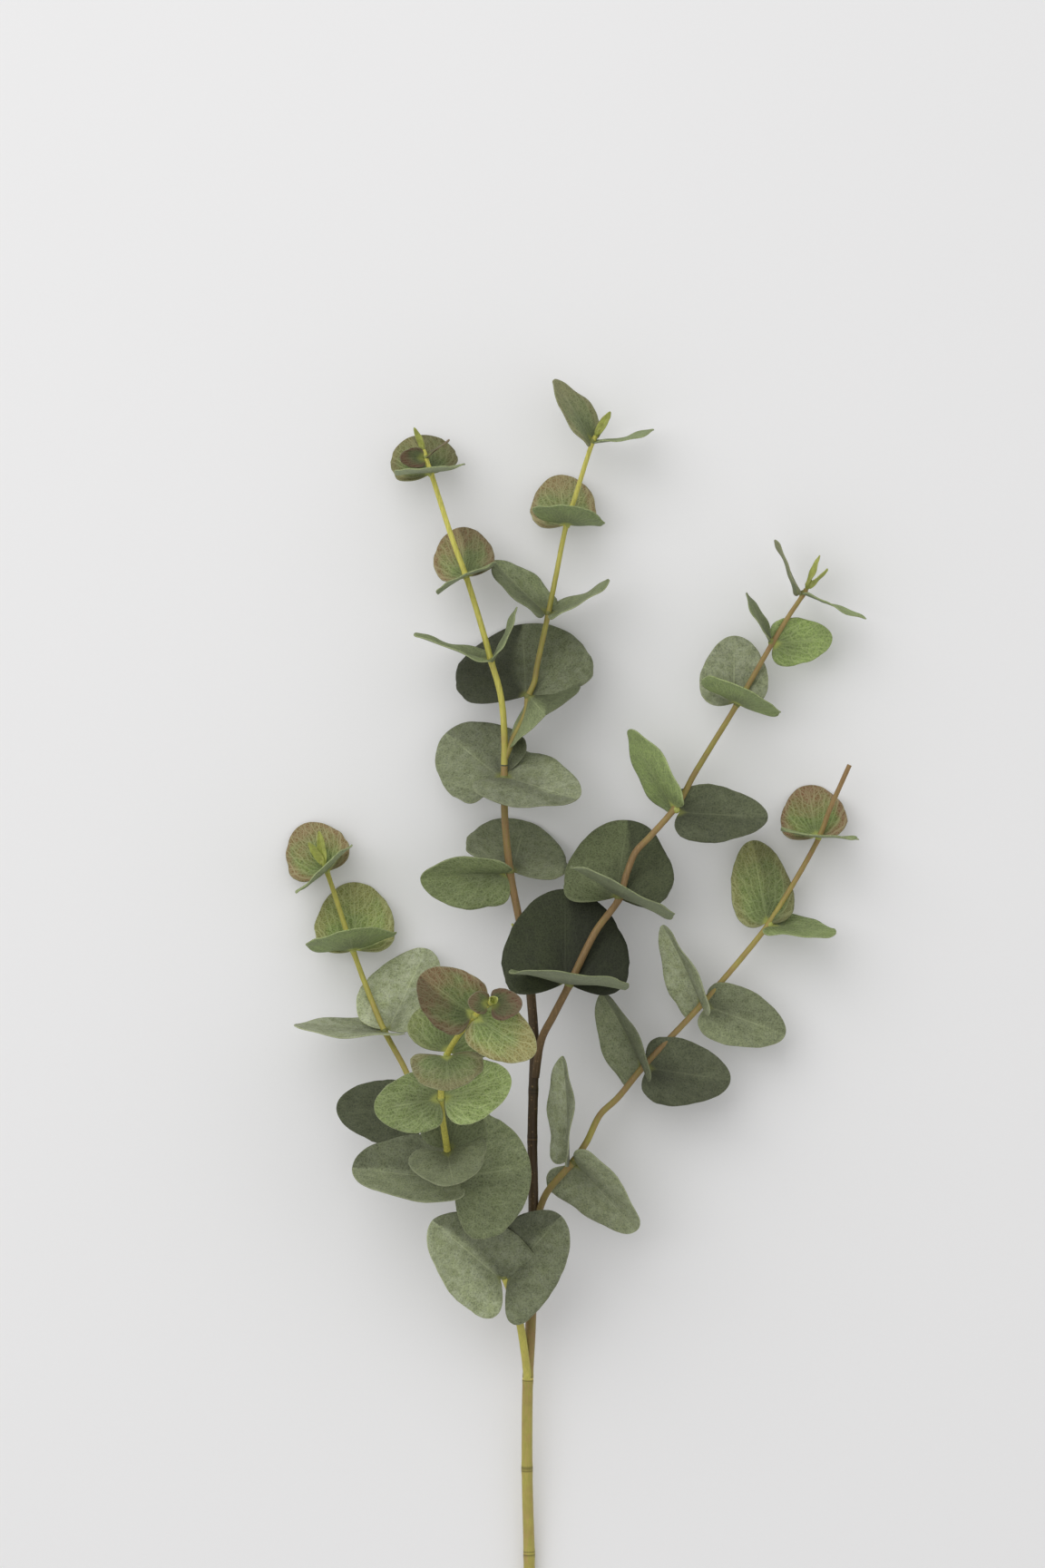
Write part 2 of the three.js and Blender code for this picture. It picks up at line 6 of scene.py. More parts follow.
import bpy
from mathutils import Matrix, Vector


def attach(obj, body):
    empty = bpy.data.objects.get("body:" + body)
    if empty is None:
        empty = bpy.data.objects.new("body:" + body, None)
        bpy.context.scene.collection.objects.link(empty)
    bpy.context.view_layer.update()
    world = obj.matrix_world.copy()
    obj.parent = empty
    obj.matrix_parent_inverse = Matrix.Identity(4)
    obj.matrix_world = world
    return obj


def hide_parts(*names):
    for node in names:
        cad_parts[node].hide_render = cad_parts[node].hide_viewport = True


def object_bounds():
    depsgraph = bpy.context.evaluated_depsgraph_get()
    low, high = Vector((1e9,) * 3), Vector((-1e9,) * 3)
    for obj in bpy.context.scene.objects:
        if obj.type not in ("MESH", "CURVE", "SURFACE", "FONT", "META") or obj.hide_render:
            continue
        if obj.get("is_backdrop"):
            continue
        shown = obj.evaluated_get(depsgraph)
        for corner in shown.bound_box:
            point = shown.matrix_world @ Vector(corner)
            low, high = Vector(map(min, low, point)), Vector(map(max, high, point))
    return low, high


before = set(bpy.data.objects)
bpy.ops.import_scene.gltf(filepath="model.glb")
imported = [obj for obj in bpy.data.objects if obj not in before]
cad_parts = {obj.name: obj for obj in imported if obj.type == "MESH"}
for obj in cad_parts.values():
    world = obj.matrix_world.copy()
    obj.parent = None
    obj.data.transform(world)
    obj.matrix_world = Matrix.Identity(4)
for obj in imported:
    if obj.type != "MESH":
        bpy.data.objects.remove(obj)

bl_info = {
    "name": "Eucalyptus Branch",
    "version": (1, 0, 0),
    "blender": (4, 5, 0),
    "location": "View3D > Sidebar > Branch",
    "description": "Dresses a lying eucalyptus branch with veined leaves, bark and tip buds",
    "category": "Add Mesh",
}

BODY = "root"
MM = 0.001

# The blade's outline rule, as shares of its length and width
BASE_LOBE = 0.13
FULLER_BASE = 0.16
TIP_POINT = 0.03
TIP_SHARPNESS = 8

# How far the halves fold at the base and at the tip, as shares of the fold, and the least bend in degrees
FOLD_AT_BASE = 1.25
FOLD_AT_TIP = 0.2
LEAST_BEND = 0.5

# How fast the uneven outline changes along a leaf and from one half to the other
UNEVEN_ALONG = 6.5
UNEVEN_ACROSS = 3.0

# The margin's waves: radians along a leaf, from leaf to leaf and from half to half, and share of the height
Wave = namedtuple("Wave", "along leaf half share")
SLOW_WAVE = Wave(9.0, 6.0, 1.1, 0.7)
QUICK_WAVE = Wave(23.0, 11.0, 2.3, 0.3)

# Each leaf's waves start at a phase of its own, spread by the golden ratio
GOLDEN_SHARE = 0.618034
PHASE_SPAN = 5

# Where blades and buds grow from, in millimetres
ROOT_OUT = 0.55
BUD_FOOT = 0.3
LEAFLET_HEIGHT = 1.2
BUD_SINK = 0.6
LEAFLET_APART = 0.2

# The green joint under a pair of leaves: its radius as a share of the stem's, its half length in
# millimetres, and how many sides and rings its ball has
JOINT_WIDTH = 1.32
JOINT_HALF = 1.5
BALL_SIDES = 20
BALL_RINGS = 12

# How far a stem's swellings and ring grooves reach, in millimetres, and the groove's depth as a share
NODE_REACH = 1.6
RING_REACH = 0.55
LIP_REACH = 1.8
RING_GROOVE = 0.05

# How near points become one, in millimetres: at a blade's base and tip, and along its edge
ENDS_JOINED = 0.01
EDGES_JOINED = 0.001

# Noise on leaves, stems and floor: how many times it changes in a metre
VEIN_DRIFT = 180.0
VEIN_WARP = 700.0
BLOTCHES = 130.0
GRAINS = 1500.0
WAX_SPOTS = 260.0
JOINT_PATCHES = 420.0
FRECKLES = 2600.0
STREAKS = 1600.0
BARK_PATCHES = 150.0
BARK_SPECKS = 650.0
BARK_RIDGES = 900.0
PAPER_FIBRES = 900.0

# The bark's pattern is drawn out along the stems, which run mostly along Y
RIDGE_STRETCH = (1.0, 0.25, 1.0)
STREAK_STRETCH = (1.0, 0.08, 1.0)

# Side veins lean towards the tip and start later on one half, and rays fan out from a leaf's base.
# Both drift, and the two nets between them are warped by so many metres.
SIDE_VEIN_LEAN = 0.75
SIDE_VEIN_OFFSET = 0.25
SIDE_VEIN_DRIFT = 1.1
RAYS_A_RADIAN = 7.0
RAY_DRIFT = 1.6
NET_WARP = 0.0007
WIDE_CELLS = 0.4

# Marks: how far from its middle each is full and how far it is gone, and how strongly it shows. Distances
# are in metres, or for side veins, nets and specks in shares of their spacing.
Mark = namedtuple("Mark", "full gone strength")
SIDE_VEIN = Mark(0.01, 0.08, 1.0)
RAY_VEIN = Mark(0.0001, 0.00042, 0.9)
FINE_VEIN = Mark(0.04, 0.15, 0.5)
WIDE_VEIN = Mark(0.015, 0.09, 0.4)
MIDRIB = Mark(0.0001, 0.0006, 0.9)
EDGE_LINE = Mark(0.0001, 0.0004, 0.3)
SPECK = Mark(0.1, 0.28, 1.0)

# Ramps: the two ends of a value, and what it becomes at each
MIDRIB_FADE = (0.55, 1.0, 1.0, 0.25)
BLOTCH_SHADE = (0.3, 0.7, 0.82, 1.08)
GRAIN_SHADE = (0.35, 0.65, 0.72, 1.14)
BLUSH_SPREAD = (0.55, 1.0)
BLUSH_GRAIN = (0.3, 0.6, 0.65, 1.0)
WAX_COVER = (0.3, 0.8, 0.0, 0.5)
# Painted shade: along the midrib near a blade's base, where its fold is hollow, and over the half of a blade
# that lies in shade
CREASE_SHADE_WIDTH = (0.0, 0.01, 0.4, 0.0)
CREASE_SHADE_LENGTH = (0.1, 0.8, 1.0, 0.0)
HALF_SHADE_EDGE = (0.0, 0.25)
BASE_TINT_LENGTH = (0.0008, 0.004, 0.75, 0.0)
BASE_TINT_WIDTH = (0.0006, 0.003, 1.0, 0.0)
JOINT_AGE = (0.2, 0.9, 0.42, 1.0)
FRECKLE_COVER = (0.55, 0.75, 0.0, 0.5)
JOINT_PATCH_COVER = (0.35, 0.7)
BROWN_COVER = (0.15, 0.95)
STREAK_SHADE = (0.3, 0.75, 0.72, 1.12)
RING_SHADE = (0.3, 0.9, 0.5, 1.7)
RING_COVER = (0.05, 0.35)

# Veins: how bright they are on grown leaves and what youth adds, how much of the vein colour they take and
# what redness adds, how much paler than the ground they are, and how much they show on each face and age
BRIGHT_GROWN, BRIGHT_YOUNG = 0.45, 0.4
TINTED_PLAIN, TINTED_RED = 0.4, 0.2
VEIN_PALER = 1.6
SHOWN_UNDER, SHOWN_UPPER = 0.6, 0.35
SHOWN_GROWN, SHOWN_YOUNG = 0.8, 0.4

# Leaf skin: how pale undersides are and what dust adds, and where the blush gathers
UNDER_PALE, UNDER_DUSTY = 0.08, 0.5
TIP_BLUSH = 0.9
BLUSH_PATTERN = 0.75

# Bark, joints and paper: what patches and streaks add to its brown, how much darkness takes off, how
# strong specks are, and the darker shade of joints and of paper
PATCH_BROWN, STREAK_BROWN = 0.6, 1.1
DARKEST = 0.92
SPECK_TINT = 0.28
JOINT_DARKER = 0.72
PAPER_DARKER = 0.985

# Relief: each pattern's share of it
VEIN_RELIEF, GRAIN_RELIEF, BLOTCH_RELIEF = 0.5, 0.3, 1.2
STREAK_RELIEF, SPECK_RELIEF, RING_RELIEF = 0.7, 0.3, 0.5
FRECKLE_RELIEF = 0.6

# Finishes: least roughness and what the pattern adds, relief in metres and its strength, specular level
Finish = namedtuple("Finish", "rough added relief strength shine")
LEAF_FINISH = Finish(0.58, 0.2, 0.0003, 0.75, 0.35)
JOINT_FINISH = Finish(0.42, 0.2, 0.0002, 0.4, 0.5)
BARK_FINISH = Finish(0.34, 0.2, 0.0002, 0.6, 0.3)
SHEEN, SHEEN_ROUGHNESS = 0.02, 0.6
PAPER_ROUGHNESS = 0.95

# The stage, in metres: the lamp's place beside the branch's middle, the table point under the camera, and
# the camera's sensor, which is in millimetres
LAMP_PLACE = (-0.9, 1.0, 1.7)
VIEW_MIDDLE = (-0.0025, 0.373)
FARTHEST_SEEN = 50.0
SENSOR_WIDTH = 36.0

# The stems, in millimetres: radius at foot and tip, the points of the line, tints, and how far up the
# branch the joint rings are. A tint is a share of the stem's length with how brown and how dark the bark
# is there, and a darkness under 0 is lighter than plain.
Stem = namedtuple("Stem", "radius points tints rings", defaults=((),))
STEMS = {
    "main_stem": Stem(
        (2.35, 1.85),
        [(0.2, -8, 2.0), (0, 8, 2.0), (-0.2, 30, 2.3), (0.2, 62, 4), (-0.7, 102.6, 8), (-0.4, 136.8, 12),
         (0.7, 158.4, 15), (1.8, 205.2, 21), (1.4, 232.9, 23.5), (1.8, 252.7, 24.5), (2.2, 270, 25),
         (0.7, 291.6, 25), (0.2, 298.6, 24.8)],
        [(0, 0.4, 0.15), (0.45, 0.5, 0.2), (0.56, 0.75, 0.45), (0.68, 1, 0.85), (0.8, 1, 0.95),
         (0.94, 1, 0.92), (1, 0.85, 0.6)],
        (68, 102, 138, 233, 252),
    ),
    "upper_stem": Stem(
        (1.6, 1.35),
        [(0.1, 299.2, 24.7), (-3.6, 318.6, 23.5), (-7.2, 337, 24), (-9.4, 358.2, 25), (-9.7, 375.5, 25.5),
         (-9.7, 380, 25.7)],
        [(0, 0.8, 0.5), (0.3, 0.9, 0.4), (0.6, 0.8, 0.35), (1, 0.65, 0.35)],
    ),
    "twig_top_left": Stem(
        (1.3, 0.95),
        [(-9.7, 380.6, 25.7), (-9.6, 390, 26.5), (-10.4, 403.2, 27.5), (-11.9, 411.5, 28),
         (-14.8, 421.2, 28.5), (-16.9, 429.1, 28.5), (-24.5, 454, 27), (-29.9, 468.7, 25.5),
         (-38.5, 495.4, 22), (-40.3, 500.5, 21.5), (-41.6, 504.8, 21)],
        [(0, 0.35, 0.15), (0.3, 0.2, 0), (1, 0.1, -0.25)],
    ),
    "twig_top_right": Stem(
        (1.2, 0.9),
        [(-9.4, 383, 25.8), (-6.1, 391, 26), (-1.1, 401.4, 25), (-0.4, 406.8, 24.5), (2.2, 413.3, 24),
         (3.2, 419.4, 23.5), (7.6, 439.9, 22), (10.4, 453.6, 21), (14.8, 475.2, 19), (18.4, 486.7, 18.5),
         (25.2, 508, 18), (26.4, 510.4, 18)],
        [(0, 0.55, 0.35), (0.35, 0.45, 0.45), (0.5, 0.3, 0.4), (0.62, 0.25, 0.1), (1, 0.1, -0.05)],
    ),
    "twig_right_upper": Stem(
        (1.6, 0.9),
        [(2.5, 257.4, 25.8), (5, 272.5, 29), (9.7, 281.9, 32), (15.8, 293.8, 34), (26.3, 315, 33),
         (35.6, 328, 31.5), (38.5, 337.7, 30), (42.1, 346.3, 29), (47.2, 351.7, 28), (58.7, 365, 26),
         (65.5, 377.3, 24.5), (82.1, 404.3, 21.5), (95.8, 428, 20), (102.6, 439.2, 19.5), (108.4, 447.8, 19),
         (109.6, 449.9, 19)],
        [(0, 1, 0.9), (0.12, 1, 0.5), (0.3, 0.9, 0.25), (0.42, 1, 0.35), (0.5, 0.75, 0.2),
         (0.64, 0.55, 0.45), (0.74, 0.55, 0.25), (0.88, 0.8, 0.25), (1, 0.6, 0.2)],
    ),
    "twig_right_lower": Stem(
        (1.4, 0.95),
        [(2, 197.3, 20.5), (6.8, 211.3, 23.5), (17.3, 223.9, 25.5), (22.7, 231.8, 25.5), (28.1, 242.6, 25),
         (34.9, 249.1, 24), (45.7, 262.1, 22), (68.8, 286.6, 18.5), (91.4, 313.2, 16), (95.8, 319.3, 15.5),
         (114.5, 351.4, 14.5), (118.8, 362.5, 15), (126.7, 380.5, 17)],
        [(0, 0.8, 0.5), (0.2, 0.5, 0.3), (0.38, 0.85, 0.4), (0.5, 0.65, 0.3), (0.66, 0.5, 0.2),
         (0.8, 0.7, 0.15), (1, 0.95, 0.2)],
    ),
    "twig_left_base": Stem(
        (1.6, 1.4),
        [(-0.5, 138, 13), (-1.6, 148, 16.5), (-4, 162, 21.5), (-9.7, 179.3, 29), (-19.1, 197.3, 38),
         (-25.6, 208.1, 44)],
        [(0, 0.3, 0.1), (1, 0.2, 0.1)],
    ),
    "twig_front": Stem(
        (1.4, 1.0),
        [(-26, 208.8, 44.4), (-30.6, 218.6, 53), (-31.8, 229.7, 66), (-34.2, 250.9, 82), (-31.7, 268.2, 98),
         (-20.9, 283.7, 113), (-15.1, 288.7, 122), (-14.6, 289.3, 123.5)],
        [(0, 0.1, 0), (0.5, 0.05, 0), (1, 0, 0)],
    ),
    "twig_left": Stem(
        (1.3, 0.95),
        [(-24.6, 206.4, 42.9), (-32, 225, 36), (-42.5, 243, 30), (-48.2, 259.2, 25.5), (-56.9, 275.4, 21.5),
         (-62.3, 288, 18), (-69.5, 307.1, 14), (-74.5, 322.2, 12.5), (-79.9, 338.4, 11.5),
         (-80.8, 340.6, 11.5)],
        [(0, 0.6, 0.4), (0.3, 0.55, 0.3), (0.6, 0.4, 0.2), (0.8, 0.15, 0.1), (1, 0.15, 0.1)],
    ),
}

# A blade: length and width in millimetres; heading, lift, roll, bend and fold in degrees; the lobes' share;
# then its look: how light it is, its own tone together with painted shade on blades that lie in shade,
# how yellow-green, how red towards its margin, how dusty, and how much painted shade darkens its left half,
# seen from its base. Under 0 the right half is the one in painted shade.
Blade = namedtuple(
    "Blade",
    "length width heading lift roll bend fold lobe tone fresh blush dust worn",
    defaults=(BASE_LOBE, 1.0, 0.0, 0.0, 0.3, 0.0),
)

# Pairs of leaves: their stem, and from its foot to its tip each pair's place in millimetres and its blades
PAIRS = {
    "leaves_low": ("twig_left_base", [
        ((-9.7, 179.3, 29),
         Blade(42, 36, 138, 30, 0, 8, 22, 0.25, tone=1.45, fresh=0.1, dust=0.7, worn=-0.5),
         Blade(34, 38, 49, 22, 0, 8, 28, 0.42, tone=0.72, fresh=0.1, dust=0.6, worn=0.45)),
    ]),
    "leaves_front": ("twig_front", [
        ((-30.6, 218.6, 53),
         Blade(36, 36, 175, 0, -34, 5, 36, 0.3, tone=0.95, fresh=0.1, dust=0.5, worn=-0.4),
         Blade(29, 50, 8, -5, 0, 5, 8, tone=0.98, fresh=0.25, worn=-0.2)),
        ((-31.8, 229.7, 66),
         Blade(24, 31, -78, 60, 0, 5, 12, 0.25, tone=0.8, fresh=0.1),
         Blade(20, 26, 72, 5, 0, 5, 10, tone=0.7, fresh=0.3)),
        ((-34.2, 250.9, 82),
         Blade(24, 24, 190, 5, 0, 5, 12, tone=0.86, fresh=0.7),
         Blade(26, 25, 18, 0, 0, 5, 12, tone=1.45, fresh=0.8)),
        ((-31.7, 268.2, 98),
         Blade(23, 34, 78, -25, 0, 5, 8, tone=0.75, fresh=0.9, blush=0.15),
         Blade(24, 28, -88, 58, 0, 5, 8, tone=0.75, fresh=0.8, blush=0.45)),
        ((-20.9, 283.7, 113),
         Blade(25, 25, 143, 12, 0, 8, 12, tone=0.75, fresh=0.8, blush=0.8, dust=0, worn=0.35),
         Blade(26, 22, -32, 10, 0, 8, 8, tone=1.1, fresh=0.9, blush=0.5, dust=0)),
        ((-15.1, 288.7, 122),
         Blade(12, 12.5, 2, 20, 0, 10, 10, tone=0.5, fresh=0.5, blush=1, dust=0),
         Blade(9, 9, 172, 35, 0, 10, 10, tone=0.6, fresh=0.6, blush=0.8, dust=0)),
    ]),
    "leaves_left": ("twig_left", [
        ((-42.5, 243, 30),
         Blade(31, 27, 174, 0, -15, 5, 10, tone=0.33, fresh=0.15),
         Blade(27, 26, -4, -30, 0, 5, 8, tone=0.5, fresh=0.15)),
        ((-56.9, 275.4, 21.5),
         Blade(38, 33, 63, -30, 28, 8, 24, tone=1.68, fresh=0.05, dust=1, worn=-0.2),
         Blade(34, 28, 178, 12, -78, 5, 8, 0.3, tone=1.3, dust=1)),
        ((-69.5, 307.1, 14),
         Blade(29, 32, 92, -28.5, 0, 5, 8, tone=1.1, fresh=0.95, blush=0.35, dust=0.1),
         Blade(25, 36, -81, 106, 0, 5, 8, fresh=0.85, dust=0.05)),
        ((-79.9, 338.4, 11.5),
         Blade(22, 26, 118, -25, 0, 5, 12, tone=0.92, fresh=0.9, blush=0.75, dust=0),
         Blade(22, 29, -48, 92, 0, 5, 5, tone=1.1, fresh=0.7)),
    ]),
    "leaves_right_lower": ("twig_right_lower", [
        ((17.6, 223.9, 25.5),
         Blade(40, 25, 91, 5, 68, 5, 25, tone=1.4, fresh=0.05, dust=0.8, worn=-0.35),
         Blade(34, 30, -46, -5, -42, 5, 22, 0.25, tone=1.1, fresh=0.05, dust=0.6)),
        ((45.7, 262.1, 22),
         Blade(31, 25, 117, 8, 50, 5, 38, 0.3, tone=0.9, fresh=0.1, dust=0.5, worn=-0.35),
         Blade(32, 27, -9, -5, 10, 5, 8, tone=0.44, fresh=0.1, worn=-0.2)),
        ((69.1, 286.3, 18.5),
         Blade(33, 23, 114, 8, 58, 5, 26, 0.25, tone=1.55, fresh=0.05, dust=0.7, worn=-0.3),
         Blade(32, 24, -20, -5, 5, 5, 8, tone=0.98, fresh=0.1, worn=0.2)),
        ((95.4, 317.5, 15.6),
         Blade(33, 25, 100, -18, 0, 5, 20, tone=0.95, fresh=0.85, blush=0.35, dust=0.1, worn=-0.3),
         Blade(26, 24, -8, 25, 70, 0, 5, fresh=0.8)),
        ((114.5, 351.7, 14.5),
         Blade(24, 26, 98, -36, 0, 5, 6, tone=0.88, fresh=0.95, blush=0.9, dust=0),
         Blade(22, 31, -96, 92, 0, 0, 5, fresh=0.7)),
    ]),
    "leaves_right_upper": ("twig_right_upper", [
        ((15.8, 294.1, 34),
         Blade(37, 50, 90, -18, 0, 5, 8, 0.24, tone=0.175, fresh=0.4, dust=0, worn=-0.4),
         Blade(32, 47, -97, 96, 0, 5, 5, tone=0.8, fresh=0.4)),
        ((35.3, 328.3, 31.5),
         Blade(35, 43, 81, -35, 8, 5, 5, 0.22, tone=0.6, fresh=0.3, dust=0.1, worn=-0.5),
         Blade(30, 45, -117, 98, 0, 0, 5, tone=0.9, fresh=0.4)),
        ((58, 362.9, 26.3),
         Blade(34, 25, 122, 0, -118, 5, 5, tone=1.2, fresh=0.85, dust=0),
         Blade(34, 23, -4, -5, 15, 5, 8, tone=0.46, fresh=0.15, worn=-0.2)),
        ((82.1, 404.3, 21.5),
         Blade(28, 27, 89, -25, 5, 5, 12, tone=1.05, fresh=0.05, dust=0.8),
         Blade(22, 34, -114, 106, 0, 0, 5, tone=1.05, fresh=0.9, dust=0.05)),
        ((95.8, 429.1, 20),
         Blade(20, 16, 118, 0, -78, 5, 8, tone=0.8, fresh=0.5),
         Blade(23, 19, 6, -10, 175, 5, 8, tone=1.15, fresh=1, dust=0)),
        ((108, 448.2, 19),
         Blade(22, 15, 112, 0, 84, 5, 5, tone=0.85, fresh=0.4, blush=0.2),
         Blade(25, 17, -22, 0, 85, 0, 5, fresh=0.8)),
    ]),
    "leaves_upper": ("upper_stem", [
        ((-7.4, 338.4, 24),
         Blade(28, 41, 74, -48, 0, 5, 6, tone=0.75, fresh=0.1, dust=0.6),
         Blade(33, 29, 182, 8, 38, 5, 36, tone=0.85, fresh=0.55)),
        ((-9.7, 375.5, 25.5),
         Blade(31, 37, 142, -32, -16, 5, 5, tone=0.9, fresh=0.1, dust=0.6, worn=-0.35),
         Blade(33, 33, -18, 33, 46, 0, 8, 0.32, tone=1.12, fresh=0.05, dust=0.8, worn=-0.3)),
    ]),
    "leaves_top_right": ("twig_top_right", [
        ((-0.4, 407.5, 24.5),
         Blade(35, 55, 92, -40, 8, 5, 4, tone=0.67, fresh=0.15, dust=0.6, worn=0.65),
         Blade(22, 42, -50, 64, 0, 0, -36, 0.34, tone=0.95, fresh=0.4, worn=0.5)),
        ((7.6, 440.3, 22),
         Blade(28, 24, 137, -8, -58, 5, 12, tone=0.95, fresh=0.3, dust=0.5, worn=0.3),
         Blade(26, 22, 19, 5, 76, 22, 5, fresh=0.3, dust=0.5)),
        ((15.1, 475.2, 19),
         Blade(24, 26, 97, -38, 0, 5, 6, fresh=0.7, blush=0.65, dust=0.1),
         Blade(23, 29, -99, 106, 0, 0, 5, tone=0.95, fresh=0.8, dust=0.05)),
        ((25.2, 508.3, 18),
         Blade(27, 21, 118, 10, -60, -8, 12, tone=0.85, fresh=0.5, blush=0.3, dust=0.2),
         Blade(23, 19, 3, 0, 83, 18, 3, fresh=0.6)),
    ]),
    "leaves_top_left": ("twig_top_left", [
        ((-14.8, 421.9, 28.5),
         Blade(30, 22, 163, 5, -80, 5, 10, fresh=0.5),
         Blade(22, 16, 58, 12, 82, 16, 8, tone=0.95, fresh=0.5)),
        ((-24.8, 454.7, 27),
         Blade(23, 24, 100, -36, 5, 5, 8, fresh=0.7, blush=0.75, dust=0.1, worn=-0.35),
         Blade(22, 26, -65, 88, 0, 5, -5, tone=0.95, fresh=0.6)),
        ((-38.8, 495.4, 22),
         Blade(22, 27, 118, -44, -14, 5, 6, tone=0.78, fresh=0.8, blush=0.45, dust=0, worn=-0.3),
         Blade(22, 28, -84, 93, 0, 0, 5, tone=1.05, fresh=0.5)),
        ((-40.7, 501.9, 21.3),
         Blade(10.5, 8.4, 184, 24, -10, 20, 12, tone=0.5, fresh=0.5, blush=1, dust=0),
         Blade(11, 5.6, 36, 24, 80, 0, 5, tone=0.6, fresh=0.5, blush=1, dust=0)),
    ]),
}

# Each bud: its stem, its core's length and radius in millimetres, and its leaflets
BUDS = {
    "bud_top_left": ("twig_top_left", (6.5, 1.2), [Blade(8.5, 2.6, 114, 28, 0, -5, 30)]),
    "bud_top_right": ("twig_top_right", (9.5, 1.6), [Blade(10, 3.6, 58, 20, 0, 5, 30)]),
    "bud_right_upper": ("twig_right_upper", (4, 1.2), [
        Blade(12.5, 3.6, 68, 10, 60, 0, 25), Blade(10, 3.6, 42, -10, -60, 0, 25)]),
    "bud_left": ("twig_left", (4, 1.3), [
        Blade(12.5, 3.8, 97, 15, 0, 0, 30), Blade(10, 3.6, 125, 20, 20, 0, 25)]),
    "bud_front": ("twig_front", (3.5, 1.4), [
        Blade(7, 3.4, 20, 60, 0, 20, 25), Blade(6.5, 3.4, 200, 70, 0, 20, 25)]),
}

# Small dormant buds beside the stems: place, direction, half length and radius, in millimetres
DORMANT = [
    ((-5.9, 317.0, 25.0), (-0.7, 0.7, 0.2), 1.4, 0.65),
    ((-5.2, 314.6, 24.9), (-0.9, 0.3, 0.2), 1.1, 0.6),
    ((-32.4, 216.2, 54.4), (-0.3, 0.4, 0.85), 1.7, 1.0),
    ((-28.6, 215.6, 53.6), (0.3, 0.3, 0.9), 1.9, 1.05),
]
BUD_LOOK = {"tone": 1.0, "fresh": 1.0, "blush": 0.0, "dust": 0.0}


def length_setting(name, description, default, **limits):
    """A setting for a length in metres"""
    return bpy.props.FloatProperty(
        name=name, description=description, default=default, unit="LENGTH", subtype="DISTANCE", **limits)


def share_setting(name, description, default):
    """A setting for a share of something"""
    return bpy.props.FloatProperty(
        name=name, description=description, default=default, min=0.0, subtype="FACTOR")


def colour_setting(name, description, default):
    """A setting for a colour"""
    return bpy.props.FloatVectorProperty(
        name=name, description=description, default=default, subtype="COLOR", min=0, max=1)


class BranchLeaves(bpy.types.PropertyGroup):
    """Sizes and colours of the leaves and buds"""

    thickness: length_setting("Blade Thickness", "Thickness of a leaf", 0.00045, min=0.0002)
    wave: share_setting(
        "Margin Wave", "Height of the waves along a leaf's margin, as a share of its length", 0.05)
    ragged: share_setting("Ragged Outline", "How uneven a leaf's outline is, as a share of its width", 0.2)
    rows: bpy.props.IntProperty(
        name="Rows", description="Points along a leaf, base to tip", default=37, min=8)
    columns: bpy.props.IntProperty(
        name="Columns", description="Points across a leaf, an odd number", default=25, min=5)
    vein_spacing: length_setting(
        "Vein Spacing", "Distance between side veins along the midrib", 0.0042, min=0.001)
    net_cell: length_setting("Net Cell", "Size of a cell of the fine vein net", 0.0011, min=0.0004)
    grey_green: colour_setting("Grey Green", "Colour of a full-grown leaf", (0.188, 0.212, 0.112))
    fresh_green: colour_setting("Fresh Green", "Colour of a young leaf", (0.2, 0.285, 0.06))
    blush: colour_setting("Blush", "Red-brown of young margins", (0.25, 0.09, 0.055))
    bloom: colour_setting("Bloom", "Dusty wax on full-grown leaves", (0.43, 0.445, 0.375))
    vein: colour_setting("Vein", "Colour of the veins and the margin", (0.44, 0.47, 0.27))
    joint: colour_setting("Joint", "Colour of leaf bases and buds", (0.43, 0.47, 0.11))


class BranchStems(bpy.types.PropertyGroup):
    """Sizes and colours of the stems"""

    step: length_setting("Ring Step", "Distance between rings of points along a stem", 0.0011, min=0.0004)
    sides: bpy.props.IntProperty(name="Sides", description="Points round a stem", default=24, min=6)
    ridge: length_setting("Bark Ridges", "Height of the uneven bark", 0.00016, min=0.0)
    node_swelling: share_setting(
        "Node Swelling", "Extra thickness at leaf joints, as a share of the radius", 0.16)
    ring_swelling: share_setting(
        "Ring Swelling", "Extra thickness at joint rings, as a share of the radius", 0.09)
    green_bark: colour_setting("Green Bark", "Colour of young bark", (0.59, 0.55, 0.115))
    brown_bark: colour_setting("Brown Bark", "Colour of woody bark", (0.4, 0.25, 0.105))


class BranchStage(bpy.types.PropertyGroup):
    """The table, the light and the camera"""

    floor_size: length_setting("Floor Size", "Side of the square floor", 8.0)
    floor_colour: colour_setting("Floor Colour", "Colour of the pale floor", (0.87, 0.866, 0.868))
    sky: bpy.props.FloatProperty(
        name="Sky Light", description="Strength of the even light from all round", default=0.665, min=0)
    key: bpy.props.FloatProperty(
        name="Key Light", description="Power of the large soft lamp", default=18.5, min=0, unit="POWER")
    lamp_size: length_setting("Lamp Size", "Width of the large soft lamp", 2.4)
    height: length_setting("Camera Height", "Height of the camera over the table", 4.0)
    view_height: length_setting("View Height", "Length of table that the picture shows", 0.622)


class Term:
    """A number or vector in a node tree, where each sign written with it adds a Math node"""

    def __init__(self, graph, socket):
        self.graph = graph
        self.socket = socket

    def __add__(self, other):
        return self.graph.math("ADD", self, other)

    def __radd__(self, other):
        return self.graph.math("ADD", other, self)

    def __sub__(self, other):
        return self.graph.math("SUBTRACT", self, other)

    def __rsub__(self, other):
        return self.graph.math("SUBTRACT", other, self)

    def __mul__(self, other):
        return self.graph.math("MULTIPLY", self, other)

    def __truediv__(self, other):
        return self.graph.math("DIVIDE", self, other)

    def __pow__(self, other):
        return self.graph.math("POWER", self, other)

    def __abs__(self):
        return self.graph.math("ABSOLUTE", self)


